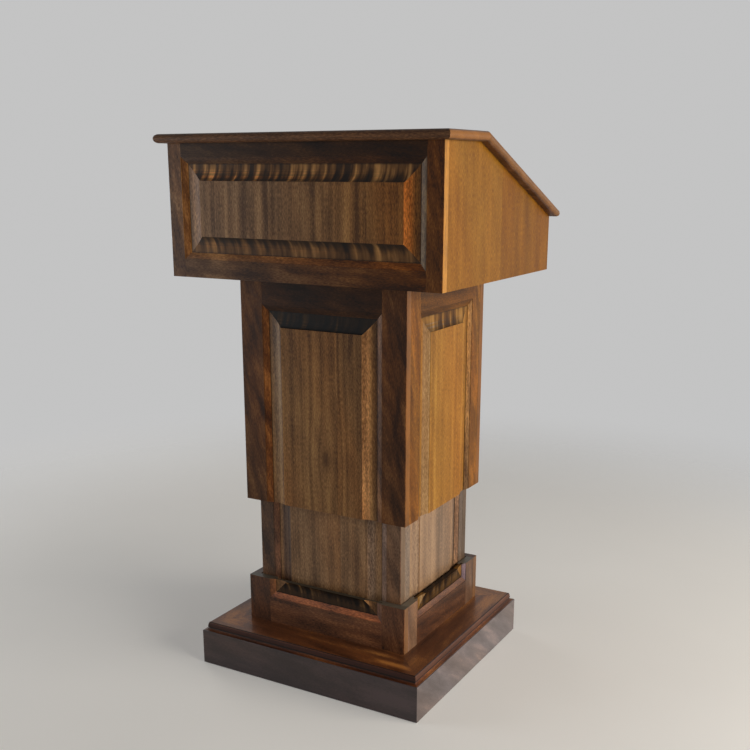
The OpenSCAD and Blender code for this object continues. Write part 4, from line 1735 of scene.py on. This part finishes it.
def sleeve() -> Column:
    """Describes the sliding column.

    Returns:
        The column.
    """
    front_panel = {
        "seams": (0.041,),
        "spread": 0.3,
        "knots": (Knot(0.0093, 0.531, 0.008),),
        # The end cove's dusk paints the head's shadow
        "raised": Raised(False, True, dusk=0.92),
        "patches": (
            Patch(-0.077, 0.6, 0.006, 0.25, -0.35),
            Patch(0.076, 0.80, 0.006, 0.045, -0.4, 0.1),
            Patch(0.02, 0.52, 0.03, 0.03, -0.18),
            # Darker top of the field: painted shadow of the head
            Patch(0.0, 0.86, 0.5, 0.14, -0.2),
        ),
        "shade": 0.96,
    }
    return Column(
        "sleeve",
        11,
        (False, True),
        touches={
            "front_panel": front_panel,
            # The top rails' low shades and the right panel's dusk paint the head's shadow
            "front_rail": {"shade": 0.36},
            "right_rail": {"shade": 0.45},
            "right_panel": {"raised": Raised(False, True, dusk=0.3)},
            "front_stiles": {
                "shade": 0.82,
                "patches": (
                    Patch(0.190, 0.66, 0.006, 0.07, -0.4, 0.14),
                    Patch(0.177, 0.884, 0.004, 0.02, 0.45, -0.3),
                    Patch(-0.19, 0.76, 0.014, 0.06, -0.3, 0.3),
                    Patch(-0.17, 0.60, 0.012, 0.05, -0.25, 0.3),
                ),
            },
            "right_stiles": {
                "patches": (
                    Patch(0.18, 0.66, 0.04, 1.0, 0.14),
                    Patch(-0.158, 0.76, 0.006, 0.06, 0.45, -0.27),
                    Patch(-0.172, 0.70, 0.008, 0.06, -0.3, -0.2),
                ),
            },
        },
    )


def inner_column() -> Column:
    """Describes the fixed inner column.

    Returns:
        The column.
    """
    front_panel = {
        "seams": (0.033,),
        "spread": 0.15,
        "patches": (
            Patch(0.0975, 0.306, 0.012, 0.05, 0.25),
            Patch(0.130, 0.302, 0.01, 0.12, 0.3),
        ),
        "shade": 1.08,
    }
    return Column(
        "inner",
        25,
        (False, False),
        has_rails=False,
        wide=replace(
            WIDE_SIDE,
            frame=INNER_FRAME_WALNUT,
            panel=INNER_PANEL_WALNUT,
            high_lip=(1.6, 1.45, 1.5),
            low_cove=(0.42, 0.41, 0.5),
            high_cove=(1.5, 1.75, 2.3),
            edge=srgb(112, 90, 70),
        ),
        narrow=replace(
            NARROW_SIDE,
            frame=INNER_SIDE_FRAME_WALNUT,
            panel=INNER_SIDE_WALNUT,
            low_lip=(1.6, 1.3, 1.05),
            low_cove=(0.95, 1.0, 1.1),
        ),
        touches={
            "front_panel": front_panel,
            "front_stiles": {
                "patches": (
                    Patch(-0.18, 0.3, 0.05, 1.0, -0.22),
                    Patch(0.18, 0.3, 0.05, 1.0, 0.12),
                ),
            },
            "right_panel": {"seams": (0.0013,), "lifts": (-0.2,), "spread": 0.5},
            "right_stiles": {"patches": (Patch(0.15, 0.4, 0.04, 0.4, -0.45),)},
        },
    )


def collar() -> Column:
    """Describes the collar.

    Returns:
        The column.
    """
    return Column(
        "collar",
        40,
        (True, False),
        wide=replace(WIDE_SIDE, frame=COLLAR_WALNUT, edge=srgb(138, 98, 64)),
        narrow=replace(NARROW_SIDE, frame=COLLAR_SIDE_WALNUT, high_lip=(1.1, 0.95, 0.8)),
        touches={
            "front_stiles": {
                "shade": 0.85,
                "ends": srgb(94, 90, 78),
                "patches": (
                    Patch(-0.18, 0.15, 0.05, 0.3, -0.15),
                    Patch(0.18, 0.15, 0.05, 0.3, 0.1),
                ),
            },
            "front_panel": {
                "shade": 0.8,
                "raised": Raised(True, False, dusk=0.68, calm=0.5),
                "ends": srgb(80, 74, 62),
            },
            "front_rail": {"shade": 1.2, "far_lip": (2.3, 1.85, 1.6)},
            "right_rail": {"shade": 0.6, "finish": COLLAR_WALNUT, "far_lip": (1.6, 1.5, 1.4)},
            "right_stiles": {
                "ends": srgb(94, 90, 78),
                "patches": (Patch(0.18, 0.15, 0.05, 0.3, -0.42),),
            },
            "right_panel": {
                "shade": 0.8,
                "raised": Raised(True, False, dusk=0.6, calm=0.3),
                "finish": COLLAR_PANEL_WALNUT,
            },
        },
    )


def main() -> None:
    """Dresses the lectern and sets it in the studio."""
    logging.basicConfig(level=logging.INFO, format="%(name)s: %(message)s")
    tree = TurnedTree()
    Head().dress()
    for column in (sleeve(), inner_column(), collar()):
        column.dress()
    base = Base()
    base.dress()
    base.build(tree)
    lift = Lift()
    lift.dress()
    lift.build(tree)
    Studio().build()


if __name__ == "__main__":
    main()
